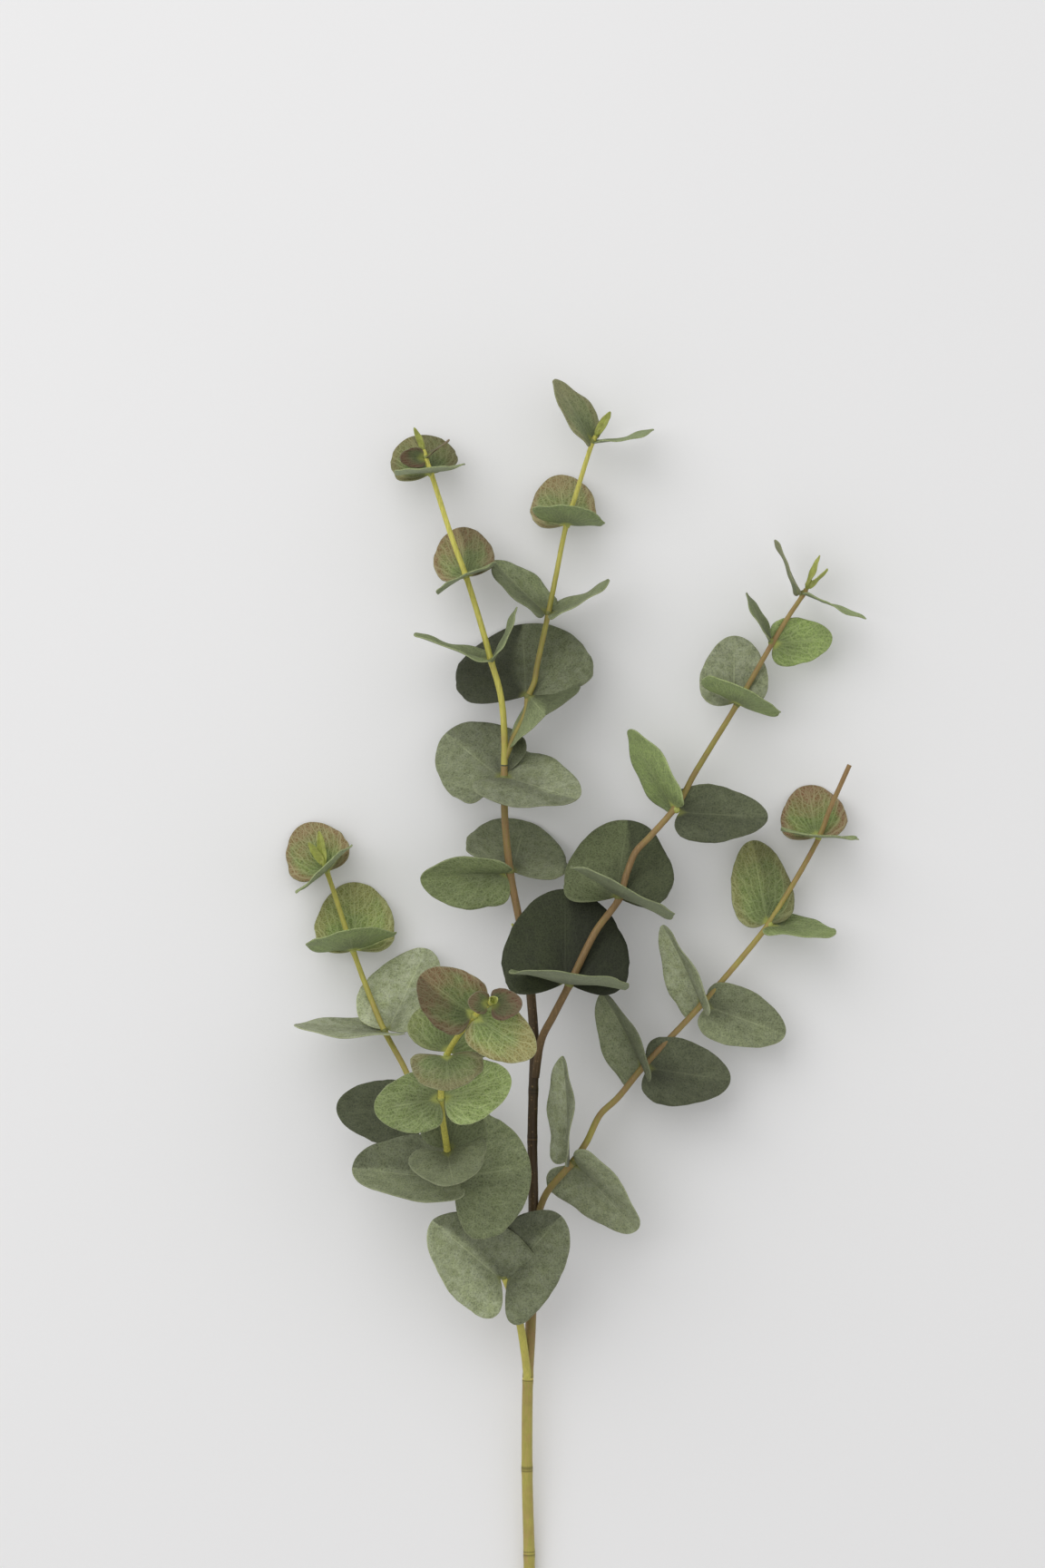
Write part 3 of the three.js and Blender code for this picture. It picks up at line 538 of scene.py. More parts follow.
class Graph:
    """Adds linked nodes to a node tree"""

    def __init__(self, tree):
        self.tree = tree

    def node(self, kind, inputs=None, **settings):
        node = self.tree.nodes.new(kind)
        for name, value in settings.items():
            setattr(node, name, value)
        for name, value in (inputs or {}).items():
            self.feed(node.inputs[name], value)
        return node

    def feed(self, socket, value):
        if isinstance(value, Term):
            self.tree.links.new(value.socket, socket)
        elif isinstance(value, bpy.types.NodeSocket):
            self.tree.links.new(value, socket)
        else:
            socket.default_value = value

    def term(self, kind, inputs=None, output=0, **settings):
        return Term(self, self.node(kind, inputs, **settings).outputs[output])

    def math(self, operation, a, b=None):
        inputs = {0: a} if b is None else {0: a, 1: b}
        terms = [value for value in (a, b) if isinstance(value, Term)]
        if any(term.socket.type in ("VECTOR", "RGBA") for term in terms):
            return self.term("ShaderNodeVectorMath", inputs, operation=operation)
        return self.term("ShaderNodeMath", inputs, operation=operation)

    def scaled(self, vector, number):
        return self.term("ShaderNodeVectorMath", {0: vector, "Scale": number}, operation="SCALE")

    def ramp(self, value, low, high, to_low=0.0, to_high=1.0):
        return self.term(
            "ShaderNodeMapRange",
            {"Value": value, "From Min": low, "From Max": high, "To Min": to_low, "To Max": to_high},
            interpolation_type="SMOOTHSTEP",
        )

    def mixed(self, share, a, b):
        """A colour a share of the way from one to another. The node's colour sockets go by number,
        since its other kinds of socket have the same names."""
        node = self.node("ShaderNodeMix", data_type="RGBA")
        self.feed(node.inputs[0], share)
        self.feed(node.inputs[6], colour(a))
        self.feed(node.inputs[7], colour(b))
        return Term(self, node.outputs[2])

    def noise(self, vector, scale, detail=3.0, roughness=0.5):
        return self.term("ShaderNodeTexNoise", {
            "Vector": vector, "Scale": scale, "Detail": detail, "Roughness": roughness})

    def marked(self, distance, mark):
        """How strongly a mark shows at a distance from its middle"""
        return self.ramp(distance, mark.full, mark.gone, mark.strength, 0.0)


def colour(value):
    """A colour of three numbers gets its fourth, and a link stays as it is"""
    return value if isinstance(value, Term) else (*value, 1.0)


class ShapeTree(Graph):
    """A geometry node tree with named inputs"""

    def __init__(self, name, inputs):
        super().__init__(bpy.data.node_groups.new(name, "GeometryNodeTree"))
        face = self.tree.interface
        face.new_socket("Geometry", in_out="INPUT", socket_type="NodeSocketGeometry")
        for label, kind in inputs.items():
            face.new_socket(label, in_out="INPUT", socket_type="NodeSocket" + kind)
        face.new_socket("Geometry", in_out="OUTPUT", socket_type="NodeSocketGeometry")
        self.inputs = self.tree.nodes.new("NodeGroupInput").outputs

    def given(self, name):
        return Term(self, self.inputs[name])

    def carried(self, kind, *names):
        """What each point carries under those names"""
        reader = "GeometryNodeInputNamedAttribute"
        return [self.term(reader, {"Name": name}, data_type=kind) for name in names]

    def stored(self, geometry, name, value, domain="POINT"):
        return self.term(
            "GeometryNodeStoreNamedAttribute", {"Geometry": geometry, "Name": name, "Value": value},
            data_type="FLOAT", domain=domain,
        )

    def joined(self, first, second):
        node = self.node("GeometryNodeJoinGeometry")
        self.feed(node.inputs[0], first)
        self.feed(node.inputs[0], second)
        return Term(self, node.outputs[0])

    def merged(self, geometry, apart):
        """Points nearer than that many millimetres become one"""
        return self.term("GeometryNodeMergeByDistance", {"Geometry": geometry, "Distance": apart * MM})

    def split(self, vector):
        """The three numbers of a vector"""
        return [Term(self, part) for part in self.node("ShaderNodeSeparateXYZ", {0: vector}).outputs]

    def kept_up(self, place, least):
        """The place, raised to the least height where it is lower"""
        x, y, z = self.split(place)
        return self.term("ShaderNodeCombineXYZ", {"X": x, "Y": y, "Z": self.math("MAXIMUM", z, least)})

    def finish(self, geometry, material, selection=True):
        """Ends the tree with real, smooth geometry in a material, all over or on a selection"""
        real = self.term("GeometryNodeRealizeInstances", {"Geometry": geometry})
        smooth = self.term("GeometryNodeSetShadeSmooth", {"Geometry": real})
        output = self.tree.nodes.new("NodeGroupOutput")
        self.feed(output.inputs[0], self.term("GeometryNodeSetMaterial", {
            "Geometry": smooth, "Selection": selection, "Material": self.given(material)}))
        return self.tree


def blade_surface(tree):
    """Where a blade's grid point goes, on a round loop with two lobes that folds up about a bent midrib"""
    side, reach, length, width = tree.carried("FLOAT", "side", "reach", "length", "width")
    bend, fold, lobe, phase = tree.carried("FLOAT", "bend", "fold", "lobe", "phase")
    root, along, outward, leftward = tree.carried("FLOAT_VECTOR", "root", "along", "outward", "across")
    out = abs(side)
    turn = reach * math.pi
    sine, cosine = tree.math("SINE", turn), tree.math("COSINE", turn)
    towards_tip = (1 - cosine) * 0.5
    point = towards_tip ** TIP_SHARPNESS
    edge = length * (towards_tip - lobe * sine * (1 - towards_tip) * 2 + point * TIP_POINT)
    rib = length * (reach + reach * reach ** TIP_SHARPNESS * TIP_POINT)
    forward = rib + (edge - rib) * out

    # The outline is uneven, and waves run along the margin
    half_sign = tree.math("SIGN", side)
    along_margin = tree.term("ShaderNodeCombineXYZ", {
        "X": reach * UNEVEN_ALONG, "Y": half_sign * UNEVEN_ACROSS, "Z": phase})
    uneven = (tree.noise(along_margin, 1.0, detail=2.0) - 0.5) * tree.given("Ragged")
    half = width * 0.5 * sine * (1 + cosine * FULLER_BASE) * (1 + uneven)
    slow, quick = (
        tree.math("SINE", reach * wave.along + phase * wave.leaf + half_sign * wave.half) * wave.share
        for wave in (SLOW_WAVE, QUICK_WAVE))
    height = (slow + quick * out) * out * out * sine * length * tree.given("Wave")

    opening = fold * (FOLD_AT_BASE - reach * (FOLD_AT_BASE - FOLD_AT_TIP))
    across = half * side * tree.math("COSINE", opening)
    rise = half * out * tree.math("SINE", opening) + height
    arc = length / bend
    curl = forward / arc
    ahead = (arc - rise) * tree.math("SINE", curl)
    above = arc - (arc - rise) * tree.math("COSINE", curl)
    return root + tree.scaled(along, ahead) + tree.scaled(outward, above) + tree.scaled(leftward, across)


def leaf_tree():
    """Grows a closed thin blade from each blade point, and a small swelling from each joint point"""
    tree = ShapeTree("leaves on a joint", {
        "Rows": "Int", "Columns": "Int", "Thickness": "Float", "Wave": "Float", "Ragged": "Float",
        "Leaf": "Material", "Joint": "Material"})
    along, swell = tree.carried("FLOAT_VECTOR", "along", "swell")
    is_joint = tree.math("GREATER_THAN", tree.carried("FLOAT", "joint")[0], 0.5)
    parts = tree.node(
        "GeometryNodeSeparateGeometry", {"Geometry": tree.inputs["Geometry"], "Selection": is_joint})

    grid = tree.term("GeometryNodeMeshGrid", {
        "Size X": 1.0, "Size Y": 1.0, "Vertices X": tree.given("Columns"), "Vertices Y": tree.given("Rows")})

    # Side is 1 at a blade's left edge and -1 at its right one, and reach is 0 at its base and 1 at its tip
    x, y, _ = tree.split(tree.term("GeometryNodeInputPosition"))
    grid = tree.stored(grid, "side", x * -2)
    grid = tree.stored(grid, "reach", y + 0.5)
    grids = tree.term("GeometryNodeRealizeInstances", {
        "Geometry": tree.term("GeometryNodeInstanceOnPoints", {
            "Points": parts.outputs["Inverted"], "Instance": grid})})

    # The surface, kept above the table, with its base and its tip drawn together into points
    shaped = tree.term("GeometryNodeSetPosition", {
        "Geometry": grids, "Position": tree.kept_up(blade_surface(tree), tree.given("Thickness"))})
    surface = tree.merged(shaped, ENDS_JOINED)

    # Thickness: the raised copy is the upper face, and the turned one is the underside
    raised = tree.node("GeometryNodeExtrudeMesh", {
        "Mesh": surface, "Offset Scale": tree.given("Thickness"), "Individual": False})
    upper = tree.stored(Term(tree, raised.outputs["Mesh"]), "upper", 1.0, domain="FACE")
    under = tree.term("GeometryNodeFlipFaces", {"Mesh": surface})
    under = tree.stored(under, "upper", 0.0, domain="FACE")
    blades = tree.merged(tree.joined(under, upper), EDGES_JOINED)
    skinned = tree.term("GeometryNodeSetMaterial", {"Geometry": blades, "Material": tree.given("Leaf")})

    ball = tree.term(
        "GeometryNodeMeshUVSphere", {"Segments": BALL_SIDES, "Rings": BALL_RINGS, "Radius": 1.0})
    joints = tree.term("GeometryNodeInstanceOnPoints", {
        "Points": parts.outputs["Selection"],
        "Instance": ball,
        "Rotation": tree.term("FunctionNodeAlignRotationToVector", {"Vector": along}, axis="Z"),
        "Scale": swell})
    return tree.finish(tree.joined(joints, skinned), "Joint", is_joint)


def stem_tree():
    """Sweeps a round section along a line, as thick as the line's radius says, with uneven bark"""
    tree = ShapeTree("stem along a line", {"Sides": "Int", "Ridge": "Float", "Bark": "Material"})
    thickness = tree.carried("FLOAT", "thickness")[0]
    line = tree.term("GeometryNodeMeshToCurve", {"Mesh": tree.inputs["Geometry"]})
    section = tree.term(
        "GeometryNodeCurvePrimitiveCircle", {"Resolution": tree.given("Sides"), "Radius": 1.0})
    tube = tree.term("GeometryNodeCurveToMesh", {
        "Curve": line, "Profile Curve": section, "Scale": thickness, "Fill Caps": True})
    place = tree.term("GeometryNodeInputPosition")
    stretched = tree.math("MULTIPLY", place, RIDGE_STRETCH)
    bump = tree.noise(stretched, BARK_RIDGES, detail=2.0) - 0.5
    normal = tree.term("GeometryNodeInputNormal")
    moved = tree.term("GeometryNodeSetPosition", {
        "Geometry": tube, "Offset": tree.scaled(normal, bump * tree.given("Ridge"))})
    above = tree.term("GeometryNodeSetPosition", {"Geometry": moved, "Position": tree.kept_up(place, 0.0)})
    return tree.finish(above, "Bark")


def new_material(name):
    """A material with a shader, and the place on the piece that its patterns follow"""
    material = bpy.data.materials.new(name)
    material.use_nodes = True
    material.node_tree.nodes.clear()
    graph = Graph(material.node_tree)
    shader = graph.node("ShaderNodeBsdfPrincipled")
    output = graph.node("ShaderNodeOutputMaterial")
    graph.tree.links.new(shader.outputs[0], output.inputs["Surface"])
    return material, graph, shader, graph.term("ShaderNodeTexCoord", output="Object")


def painted(graph, *names):
    """The numbers of those names that the piece carries at each point"""
    return [graph.term("ShaderNodeAttribute", {}, output="Fac", attribute_name=name) for name in names]


def covered(graph, shader, base, pattern, relief, finish):
    """Gives the shader its colour, its roughness by a pattern, and its relief"""
    graph.feed(shader.inputs["Base Color"], base)
    graph.feed(shader.inputs["Roughness"], finish.rough + pattern * finish.added)
    shader.inputs["Specular IOR Level"].default_value = finish.shine
    bump = graph.node("ShaderNodeBump", {
        "Strength": finish.strength, "Distance": finish.relief, "Height": relief})
    graph.tree.links.new(bump.outputs[0], shader.inputs["Normal"])


def leaf_veins(graph, look, place, from_rib, from_base):
    """How much vein shows: midrib, side veins, rays from the base, and a wide and a fine net between them"""
    side, reach, fresh = painted(graph, "side", "reach", "fresh")
    drift = graph.noise(place, VEIN_DRIFT, detail=1.0) - 0.5
    rows = (
        (from_base - from_rib * SIDE_VEIN_LEAN) / look.vein_spacing
        + drift * SIDE_VEIN_DRIFT + graph.math("SIGN", side) * SIDE_VEIN_OFFSET)
    near_row = abs(graph.math("FRACT", rows) - 0.5)
    rays = graph.math("ARCTAN2", from_rib, from_base) * RAYS_A_RADIAN + drift * RAY_DRIFT
    off_ray = abs(graph.math("FRACT", rays) - 0.5) / RAYS_A_RADIAN
    near_ray = off_ray * (from_base + from_rib * 0.5)
    warp = graph.term(
        "ShaderNodeTexNoise", {"Vector": place, "Scale": VEIN_WARP, "Detail": 1.0}, output="Color")
    warped = place + graph.scaled(warp, NET_WARP)
    fine_net, wide_net = (
        graph.term(
            "ShaderNodeTexVoronoi", {"Vector": warped, "Scale": cells / look.net_cell},
            feature="DISTANCE_TO_EDGE")
        for cells in (1, WIDE_CELLS))
    bright = BRIGHT_GROWN + fresh * BRIGHT_YOUNG
    veins = graph.marked(from_rib, MIDRIB) * graph.ramp(reach, *MIDRIB_FADE)
    for other in (
        graph.marked(near_row, SIDE_VEIN) * bright,
        graph.marked(near_ray, RAY_VEIN) * bright,
        graph.marked(wide_net, WIDE_VEIN),
        graph.marked(fine_net, FINE_VEIN),
    ):
        veins = graph.math("MAXIMUM", veins, other)
    return veins


def leaf_material(look):
    """Matte leaf skin: green to grey-green mottle, pale veins, red-brown margins and dusty bloom, with
    painted shade along the midrib and over one half
    """
    material, graph, shader, place = new_material("leaf skin")
    side, reach, length, width, upper = painted(graph, "side", "reach", "length", "width", "upper")
    tone, fresh, blush, dust, worn = painted(graph, "tone", "fresh", "blush", "dust", "worn")

    # Distances on the blade, in metres
    out = abs(side)
    half = width * 0.5 * graph.math("SINE", reach * math.pi)
    from_rib = out * half
    from_margin = (1 - out) * half
    from_base = reach * length
    veins = leaf_veins(graph, look, place, from_rib, from_base)

    # Ground colour between the veins
    blotch = graph.noise(place, BLOTCHES, detail=4.0, roughness=0.6)
    grain = graph.noise(place, GRAINS, detail=2.0, roughness=0.6)
    ground = graph.mixed(fresh, look.grey_green, look.fresh_green)
    ground = graph.scaled(ground, graph.ramp(blotch, *BLOTCH_SHADE) * graph.ramp(grain, *GRAIN_SHADE))
    outer = graph.math("MAXIMUM", out * out, reach * TIP_BLUSH)
    spread = graph.ramp((outer + blotch) * BLUSH_PATTERN, *BLUSH_SPREAD)
    redness = blush * spread * graph.ramp(grain, *BLUSH_GRAIN)
    ground = graph.mixed(redness, ground, look.blush)
    wax = dust * graph.ramp(graph.noise(place, WAX_SPOTS, detail=5.0, roughness=0.75), *WAX_COVER)
    ground = graph.mixed(wax, ground, look.bloom)

    # Paler veins, dustier underside and a pale line along the margin
    pale = graph.mixed(TINTED_PLAIN + redness * TINTED_RED, graph.scaled(ground, VEIN_PALER), look.vein)
    shown = (SHOWN_UNDER + upper * SHOWN_UPPER) * (SHOWN_GROWN + fresh * SHOWN_YOUNG)
    skin = graph.mixed(veins * shown, ground, pale)
    under = graph.mixed((1 - upper) * (dust * UNDER_DUSTY + UNDER_PALE), skin, look.bloom)
    lined = graph.mixed(graph.marked(from_margin, EDGE_LINE), under, look.vein)

    # Painted shade: darker along the midrib near the base, where the folded blade is hollow, and over the
    # half that lies in shade; then the joint's green at the base
    crease_shade = graph.ramp(from_rib, *CREASE_SHADE_WIDTH) * graph.ramp(reach, *CREASE_SHADE_LENGTH)
    half_shade_mask = graph.ramp(side * graph.math("SIGN", worn), *HALF_SHADE_EDGE) * abs(worn)
    # Each blade's tone holds its own lightness together with painted shade on blades that lie in shade
    shaded = graph.scaled(graph.scaled(lined, (1 - crease_shade) * (1 - half_shade_mask)), tone)
    near_base = graph.ramp(from_base, *BASE_TINT_LENGTH) * graph.ramp(from_rib, *BASE_TINT_WIDTH)
    green = graph.scaled(tuple(look.joint), graph.ramp(fresh, *JOINT_AGE))
    relief = veins * VEIN_RELIEF + grain * GRAIN_RELIEF + blotch * BLOTCH_RELIEF
    covered(graph, shader, graph.mixed(near_base, shaded, green), blotch, relief, LEAF_FINISH)
    shader.inputs["Sheen Weight"].default_value = SHEEN
    shader.inputs["Sheen Roughness"].default_value = SHEEN_ROUGHNESS
    return material


def joint_material(look):
    """Smooth yellow-green of leaf joints and buds, freckled and a little darker in patches"""
    material, graph, shader, place = new_material("green joint")
    fresh = painted(graph, "fresh")[0]
    patch = graph.noise(place, JOINT_PATCHES)
    freckle = graph.ramp(graph.noise(place, FRECKLES, detail=1.0), *FRECKLE_COVER)
    darker = tuple(level * JOINT_DARKER for level in look.joint)
    ground = graph.mixed(graph.ramp(patch, *JOINT_PATCH_COVER), look.joint, darker)
    aged = graph.scaled(ground, graph.ramp(fresh, *JOINT_AGE))
    relief = patch + freckle * FRECKLE_RELIEF
    covered(graph, shader, graph.mixed(freckle, aged, look.blush), patch, relief, JOINT_FINISH)
    return material


def bark_material(look):
    """Satin bark: yellow-olive to dark brown, streaked lengthwise, with pale joint rings edged in dark"""
    material, graph, shader, place = new_material("stem bark")
    brown, dark, ring = painted(graph, "brown", "dark", "ring")
    lengthwise = graph.term("ShaderNodeMapping", {"Vector": place, "Scale": STREAK_STRETCH})
    streak = graph.noise(lengthwise, STREAKS, detail=4.0, roughness=0.65)
    patch = graph.noise(place, BARK_PATCHES)
    browned = brown + (patch - 0.5) * PATCH_BROWN + (streak - 0.5) * STREAK_BROWN
    ground = graph.mixed(graph.ramp(browned, *BROWN_COVER), look.green_bark, look.brown_bark)
    ground = graph.scaled(ground, (1 - dark * DARKEST) * graph.ramp(streak, *STREAK_SHADE))
    speck = graph.marked(graph.term("ShaderNodeTexVoronoi", {"Vector": place, "Scale": BARK_SPECKS}), SPECK)
    specked = graph.mixed(speck * SPECK_TINT, ground, look.brown_bark)
    ringed = graph.scaled(ground, graph.ramp(ring, *RING_SHADE))
    bark = graph.mixed(graph.ramp(ring, *RING_COVER), specked, ringed)
    relief = streak * STREAK_RELIEF + speck * SPECK_RELIEF + ring * RING_RELIEF
    covered(graph, shader, bark, streak, relief, BARK_FINISH)
    return material


def floor_material(look):
    """Matte pale paper"""
    material, graph, shader, place = new_material("pale paper")
    fibre = graph.noise(place, PAPER_FIBRES)
    darker = tuple(level * PAPER_DARKER for level in look.floor_colour)
    graph.feed(shader.inputs["Base Color"], graph.mixed(fibre, darker, look.floor_colour))
    shader.inputs["Roughness"].default_value = PAPER_ROUGHNESS
    return material


def each_pair():
    """Each pair's node, stem, place and blades. Pairs on one stem are numbered from its foot."""
    for group, (stem, pairs) in PAIRS.items():
        for number, (place, *blades) in enumerate(pairs, 1):
            name = f"{group}_{number}" if len(pairs) > 1 else group
            yield name, stem, place, blades


def smooth_route(points, step):
    """Points of the centripetal curve through the given ones, about a step apart"""
    ends = [points[0] * 2 - points[1], *points, points[-1] * 2 - points[-2]]
    route = []
    for before, start, end, after in zip(ends, ends[1:], ends[2:], ends[3:]):
        gaps = [math.sqrt((b - a).length) for a, b in ((before, start), (start, end), (end, after))]
        leave = (start - before) / gaps[0] - (end - before) / (gaps[0] + gaps[1]) + (end - start) / gaps[1]
        arrive = (end - start) / gaps[1] - (after - start) / (gaps[1] + gaps[2]) + (after - end) / gaps[2]
        leave, arrive = leave * gaps[1], arrive * gaps[1]
        count = max(1, round((end - start).length / step))
        for i in range(count):
            s = i / count
            route.append(
                start * (2 * s ** 3 - 3 * s ** 2 + 1) + leave * (s ** 3 - 2 * s ** 2 + s)
                + end * (3 * s ** 2 - 2 * s ** 3) + arrive * (s ** 3 - s ** 2))
    return [*route, points[-1]]


def lengths_along(route):
    """Each point's distance along the route from its start"""
    total, along = 0.0, [0.0]
    for a, b in zip(route, route[1:]):
        total += (b - a).length
        along.append(total)
    return along


def blended(stops, share):
    """The value at a share of the way, between stops that each give a share and a value"""
    for (low, first), (high, second) in zip(stops, stops[1:]):
        if share <= high:
            return first + (second - first) * max(0.0, share - low) / (high - low)
    return stops[-1][1]


def bell(distance, width):
    """1 at no distance, falling away smoothly over about a width"""
    return math.exp(-((distance / width) ** 2))


def stem_route(name, step):
    return smooth_route([Vector(point) * MM for point in STEMS[name].points], step)


def stem_at(name, at, step):
    """The direction and radius of a stem at the point of its line nearest to a place"""
    route = stem_route(name, step)
    along = lengths_along(route)
    nearest = min(range(len(route)), key=lambda i: (route[i] - at).length)
    low, high = max(0, nearest - 1), min(len(route) - 1, nearest + 1)
    foot, tip = STEMS[name].radius
    radius = (foot + (tip - foot) * along[nearest] / along[-1]) * MM
    return (route[high] - route[low]).normalized(), radius


def point_mesh(name, rows, edges):
    """A mesh of bare points, each with the numbers and vectors that its row names"""
    mesh = bpy.data.meshes.new(name)
    mesh.from_pydata([row["root"] for row in rows], edges, [])
    for key, value in rows[0].items():
        values = [row[key] for row in rows]
        if isinstance(value, Vector):
            layer = mesh.attributes.new(key, "FLOAT_VECTOR", "POINT")
            layer.data.foreach_set("vector", [number for vector in values for number in vector])
        else:
            layer = mesh.attributes.new(key, "FLOAT", "POINT")
            layer.data.foreach_set("value", values)
    return mesh


def grown(name, rows, tree, settings, edges=()):
    """The piece that a node tree grows from rows of points, as a plain mesh"""
    piece = bpy.data.objects.new(name, point_mesh(name, rows, edges))
    bpy.context.scene.collection.objects.link(piece)
    modifier = piece.modifiers.new("Shape", "NODES")
    modifier.node_group = tree
    for item in tree.interface.items_tree:
        if item.in_out == "INPUT" and item.name in settings:
            modifier[item.identifier] = settings[item.name]
    depsgraph = bpy.context.evaluated_depsgraph_get()
    shape = bpy.data.meshes.new_from_object(
        piece.evaluated_get(depsgraph), preserve_all_data_layers=True, depsgraph=depsgraph)
    piece.modifiers.clear()
    piece.data = shape
    shape.name = name
    if not shape.polygons:
        raise RuntimeError(f"{name} has no faces")
    return piece


def dressed(piece, node):
    """Ties a finished piece to the CAD node that it stands for"""
    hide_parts(node)
    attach(piece, BODY)
    return piece


def blade_axes(blade):
    """The blade's directions: along the midrib, out of the upper face, and across to its left edge"""
    h, lift, roll = (math.radians(angle) for angle in (blade.heading, blade.lift, blade.roll))
    along = Vector((math.cos(lift) * math.cos(h), math.cos(lift) * math.sin(h), math.sin(lift)))
    face = Vector((-math.sin(lift) * math.cos(h), -math.sin(lift) * math.sin(h), math.cos(lift)))
    left = face.cross(along)
    out = face * math.cos(roll) + left * math.sin(roll)
    across = left * math.cos(roll) - face * math.sin(roll)
    return along, out, across


def blade_row(blade, root, number):
    """The point that a blade grows from, with everything that its shape and look follow"""
    along, out, across = blade_axes(blade)
    bend = blade.bend if abs(blade.bend) >= LEAST_BEND else LEAST_BEND
    return {
        "root": root, "along": along, "outward": out, "across": across, "swell": Vector((1, 1, 1)),
        "joint": 0.0, "length": blade.length * MM, "width": blade.width * MM,
        "bend": math.radians(bend), "fold": math.radians(blade.fold), "lobe": blade.lobe,
        "phase": math.fmod(number * GOLDEN_SHARE, 1.0) * PHASE_SPAN,
        **{key: getattr(blade, key) for key in ("tone", "fresh", "blush", "dust", "worn")},
    }


def swelling_row(like, place, direction, radius, half_length):
    """The point that a joint or a bud's core grows from"""
    return {**like, "root": place, "along": direction, "joint": 1.0,
            "swell": Vector((radius, radius, half_length))}


def shared(data, name, make):
    """The material or node tree of that name, made on its first use"""
    return data.get(name) or make()


def leafy(name, rows, look, is_bud=False):
    """A piece of blades and swellings, in leaf skin or all in the joints' green"""
    joint = shared(bpy.data.materials, "green joint", lambda: joint_material(look))
    leaf = joint if is_bud else shared(bpy.data.materials, "leaf skin", lambda: leaf_material(look))
    tree = shared(bpy.data.node_groups, "leaves on a joint", leaf_tree)
    return grown(name, rows, tree, {
        "Rows": look.rows, "Columns": look.columns, "Thickness": look.thickness, "Wave": look.wave,
        "Ragged": look.ragged, "Leaf": leaf, "Joint": joint})


class BRANCH_OT_stems(bpy.types.Operator):
    """Make the main stem and the twigs from their lines"""

    bl_idname = "branch.stems"
    bl_label = "Make Stems"

    def execute(self, context):
        look = context.scene.branch_stems
        bark = shared(bpy.data.materials, "stem bark", lambda: bark_material(look))
        tree = shared(bpy.data.node_groups, "stem along a line", stem_tree)
        for name, stem in STEMS.items():
            joints = [Vector(place) * MM for _, on, place, _ in each_pair() if on == name]
            route = stem_route(name, look.step)
            along = lengths_along(route)
            rows = []
            for point, distance in zip(route, along):
                share = distance / along[-1]
                radius = stem.radius[0] + (stem.radius[1] - stem.radius[0]) * share
                node = max(
                    (bell((point - joint).length, NODE_REACH * MM) for joint in joints), default=0.0)
                ring = max((bell(point.y / MM - y, RING_REACH) for y in stem.rings), default=0.0)
                lip = max((bell(point.y / MM - y, LIP_REACH) for y in stem.rings), default=0.0)
                radius *= 1 + look.node_swelling * node + look.ring_swelling * lip - RING_GROOVE * ring
                rows.append({
                    "root": point, "thickness": radius * MM, "ring": ring,
                    "brown": blended([(at, brown) for at, brown, _ in stem.tints], share),
                    "dark": blended([(at, dark) for at, _, dark in stem.tints], share),
                })
            edges = [(i, i + 1) for i in range(len(rows) - 1)]
            settings = {"Sides": look.sides, "Ridge": look.ridge, "Bark": bark}
            dressed(grown(name + "_bark", rows, tree, settings, edges), name)
        return {"FINISHED"}


class BRANCH_OT_leaves(bpy.types.Operator):
    """Make each opposite pair of leaves on its joint"""

    bl_idname = "branch.leaves"
    bl_label = "Make Leaves"

    def execute(self, context):
        look = context.scene.branch_leaves
        number = 0
        for name, stem, place, blades in each_pair():
            at = Vector(place) * MM
            direction, radius = stem_at(stem, at, context.scene.branch_stems.step)
            rows = []
            for blade in blades:
                along = blade_axes(blade)[0]
                aside = (along - direction * along.dot(direction)).normalized()
                number += 1
                rows.append(blade_row(blade, at + aside * (radius + ROOT_OUT * MM), number))
            rows.append(swelling_row(rows[0], at, direction, radius * JOINT_WIDTH, JOINT_HALF * MM))
            dressed(leafy(name + "_blades", rows, look), name)
        return {"FINISHED"}


class BRANCH_OT_buds(bpy.types.Operator):
    """Make the buds at the twigs' tips and the dormant ones beside the stems"""

    bl_idname = "branch.buds"
    bl_label = "Make Buds"

    def execute(self, context):
        look = context.scene.branch_leaves
        for number, (name, (stem, (length, radius), leaflets)) in enumerate(BUDS.items()):
            route = stem_route(stem, context.scene.branch_stems.step)
            direction = (route[-1] - route[-2]).normalized()
            foot = route[-1] + direction * BUD_FOOT * MM
            root = foot + direction * LEAFLET_HEIGHT * MM
            rows = []
            for leaflet in leaflets:
                aside = blade_axes(leaflet)[0] * LEAFLET_APART * MM
                rows.append(blade_row(leaflet._replace(**BUD_LOOK), root + aside, number))
            half = (length + BUD_SINK) * MM / 2
            middle = foot + direction * (half - BUD_SINK * MM)
            rows.append(swelling_row(rows[0], middle, direction, radius * MM, half))
            dressed(leafy(name + "_leaflets", rows, look, is_bud=True), name)

        # A row for its look alone, since a swelling grows no blade
        like = blade_row(Blade(1, 1, 0, 0, 0, 0, 0, **BUD_LOOK), Vector(), 0)
        piece = leafy("dormant_buds", [
            swelling_row(like, Vector(place) * MM, Vector(direction), radius * MM, half * MM)
            for place, direction, half, radius in DORMANT], look, is_bud=True)
        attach(piece, BODY)
        return {"FINISHED"}


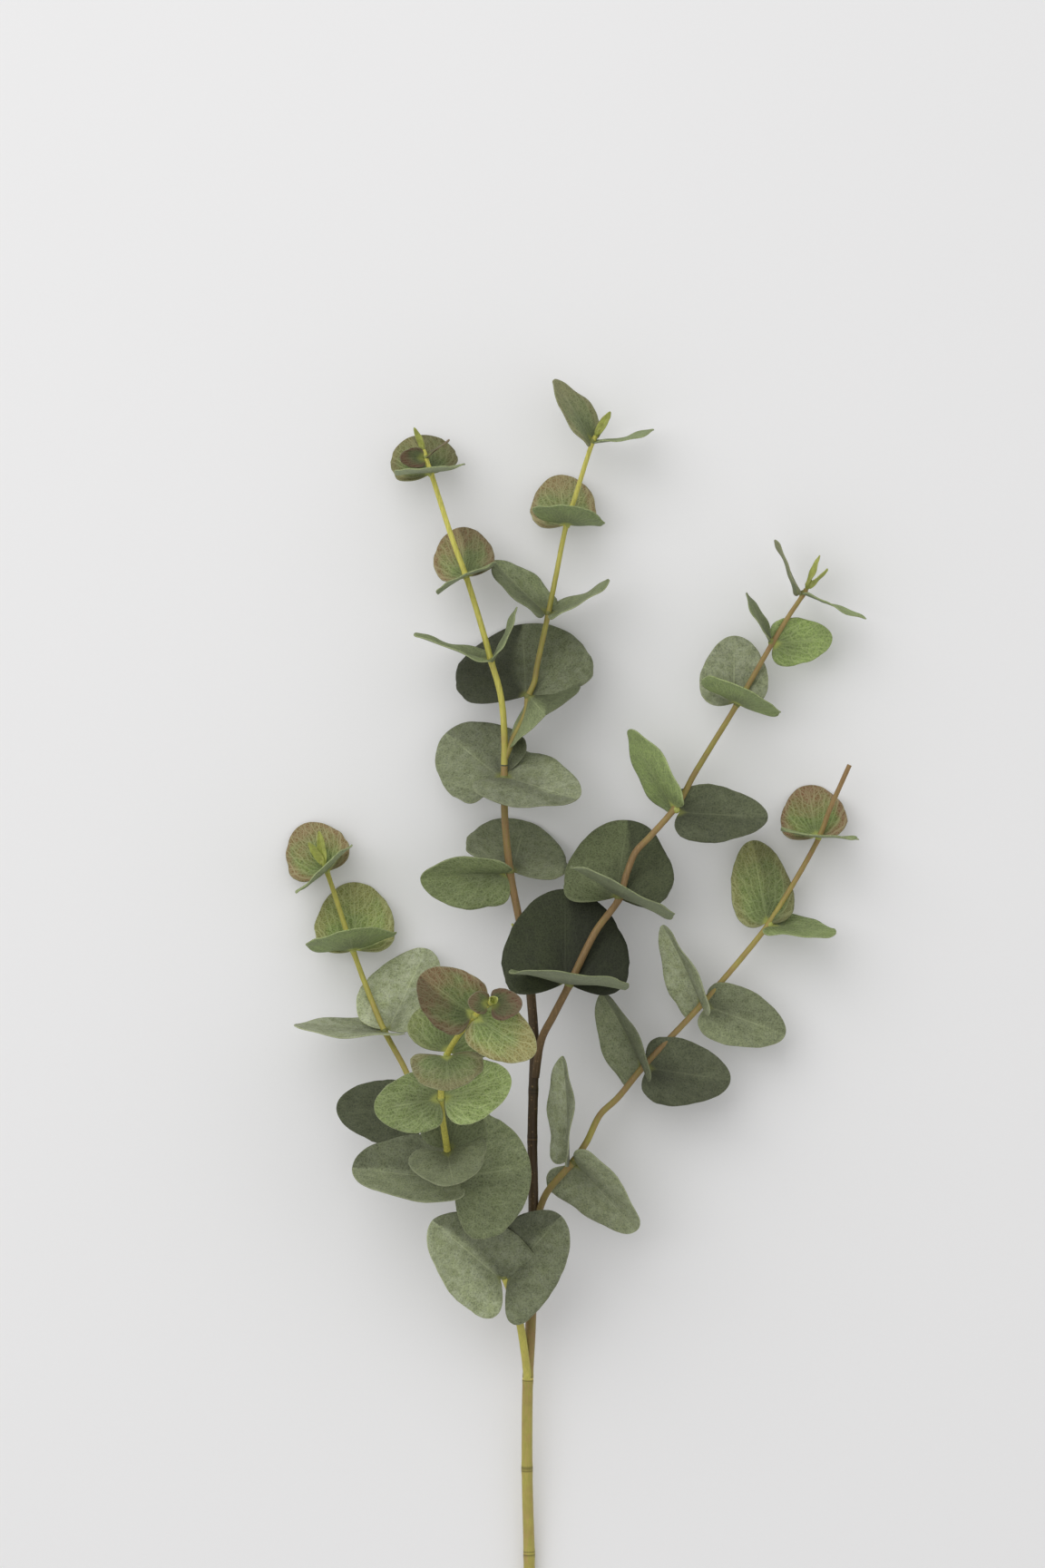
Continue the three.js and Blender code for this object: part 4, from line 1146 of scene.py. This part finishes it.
class BRANCH_OT_stage(bpy.types.Operator):
    """Make the floor, the lights and the camera"""

    bl_idname = "branch.stage"
    bl_label = "Make Stage"

    def execute(self, context):
        look = context.scene.branch_stage
        scene = context.scene
        half = look.floor_size / 2
        mesh = bpy.data.meshes.new("floor")
        corners = [(-half, -half, 0), (half, -half, 0), (half, half, 0), (-half, half, 0)]
        mesh.from_pydata(corners, [], [(0, 1, 2, 3)])
        mesh.materials.append(floor_material(look))
        floor = bpy.data.objects.new("floor", mesh)
        scene.collection.objects.link(floor)
        floor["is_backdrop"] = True

        scene.view_settings.view_transform = "Standard"
        world = bpy.data.worlds.new("studio")
        world.use_nodes = True
        background = world.node_tree.nodes["Background"]
        background.inputs["Color"].default_value = (1.0, 1.0, 1.0, 1.0)
        background.inputs["Strength"].default_value = look.sky
        scene.world = world

        low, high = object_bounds()
        middle = Vector(((low[0] + high[0]) / 2, (low[1] + high[1]) / 2, 0))
        lamp = bpy.data.lights.new("soft lamp", "AREA")
        lamp.shape = "DISK"
        lamp.size = look.lamp_size
        lamp.energy = look.key
        lamp_object = bpy.data.objects.new("soft lamp", lamp)
        lamp_object.location = middle + Vector(LAMP_PLACE)
        lamp_object.rotation_euler = (middle - lamp_object.location).to_track_quat("-Z", "Y").to_euler()
        scene.collection.objects.link(lamp_object)

        camera = bpy.data.cameras.new("camera")
        camera.sensor_width = SENSOR_WIDTH
        camera.lens = SENSOR_WIDTH * look.height / look.view_height
        camera.clip_end = FARTHEST_SEEN
        camera_object = bpy.data.objects.new("camera", camera)
        camera_object.location = (*VIEW_MIDDLE, look.height)
        scene.collection.objects.link(camera_object)
        scene.camera = camera_object
        return {"FINISHED"}


class BRANCH_PT_panel(bpy.types.Panel):
    """Lists the branch's settings and the buttons that make its pieces"""

    bl_label = "Eucalyptus Branch"
    bl_idname = "BRANCH_PT_panel"
    bl_space_type = "VIEW_3D"
    bl_region_type = "UI"
    bl_category = "Branch"

    def draw(self, context):
        for group, operators in (
            (context.scene.branch_stage, (BRANCH_OT_stage,)),
            (context.scene.branch_stems, (BRANCH_OT_stems,)),
            (context.scene.branch_leaves, (BRANCH_OT_leaves, BRANCH_OT_buds)),
        ):
            box = self.layout.box()
            for name in group.__annotations__:
                box.prop(group, name)
            for operator in operators:
                box.operator(operator.bl_idname)


CLASSES = (
    BranchLeaves, BranchStems, BranchStage,
    BRANCH_OT_stems, BRANCH_OT_leaves, BRANCH_OT_buds, BRANCH_OT_stage, BRANCH_PT_panel,
)


def register():
    for cls in CLASSES:
        bpy.utils.register_class(cls)
    bpy.types.Scene.branch_leaves = bpy.props.PointerProperty(type=BranchLeaves)
    bpy.types.Scene.branch_stems = bpy.props.PointerProperty(type=BranchStems)
    bpy.types.Scene.branch_stage = bpy.props.PointerProperty(type=BranchStage)


def unregister():
    del bpy.types.Scene.branch_stage
    del bpy.types.Scene.branch_stems
    del bpy.types.Scene.branch_leaves
    for cls in reversed(CLASSES):
        bpy.utils.unregister_class(cls)


def main():
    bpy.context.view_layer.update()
    register()
    bpy.ops.branch.stage()
    bpy.ops.branch.stems()
    bpy.ops.branch.leaves()
    bpy.ops.branch.buds()


if __name__ == "__main__":
    main()
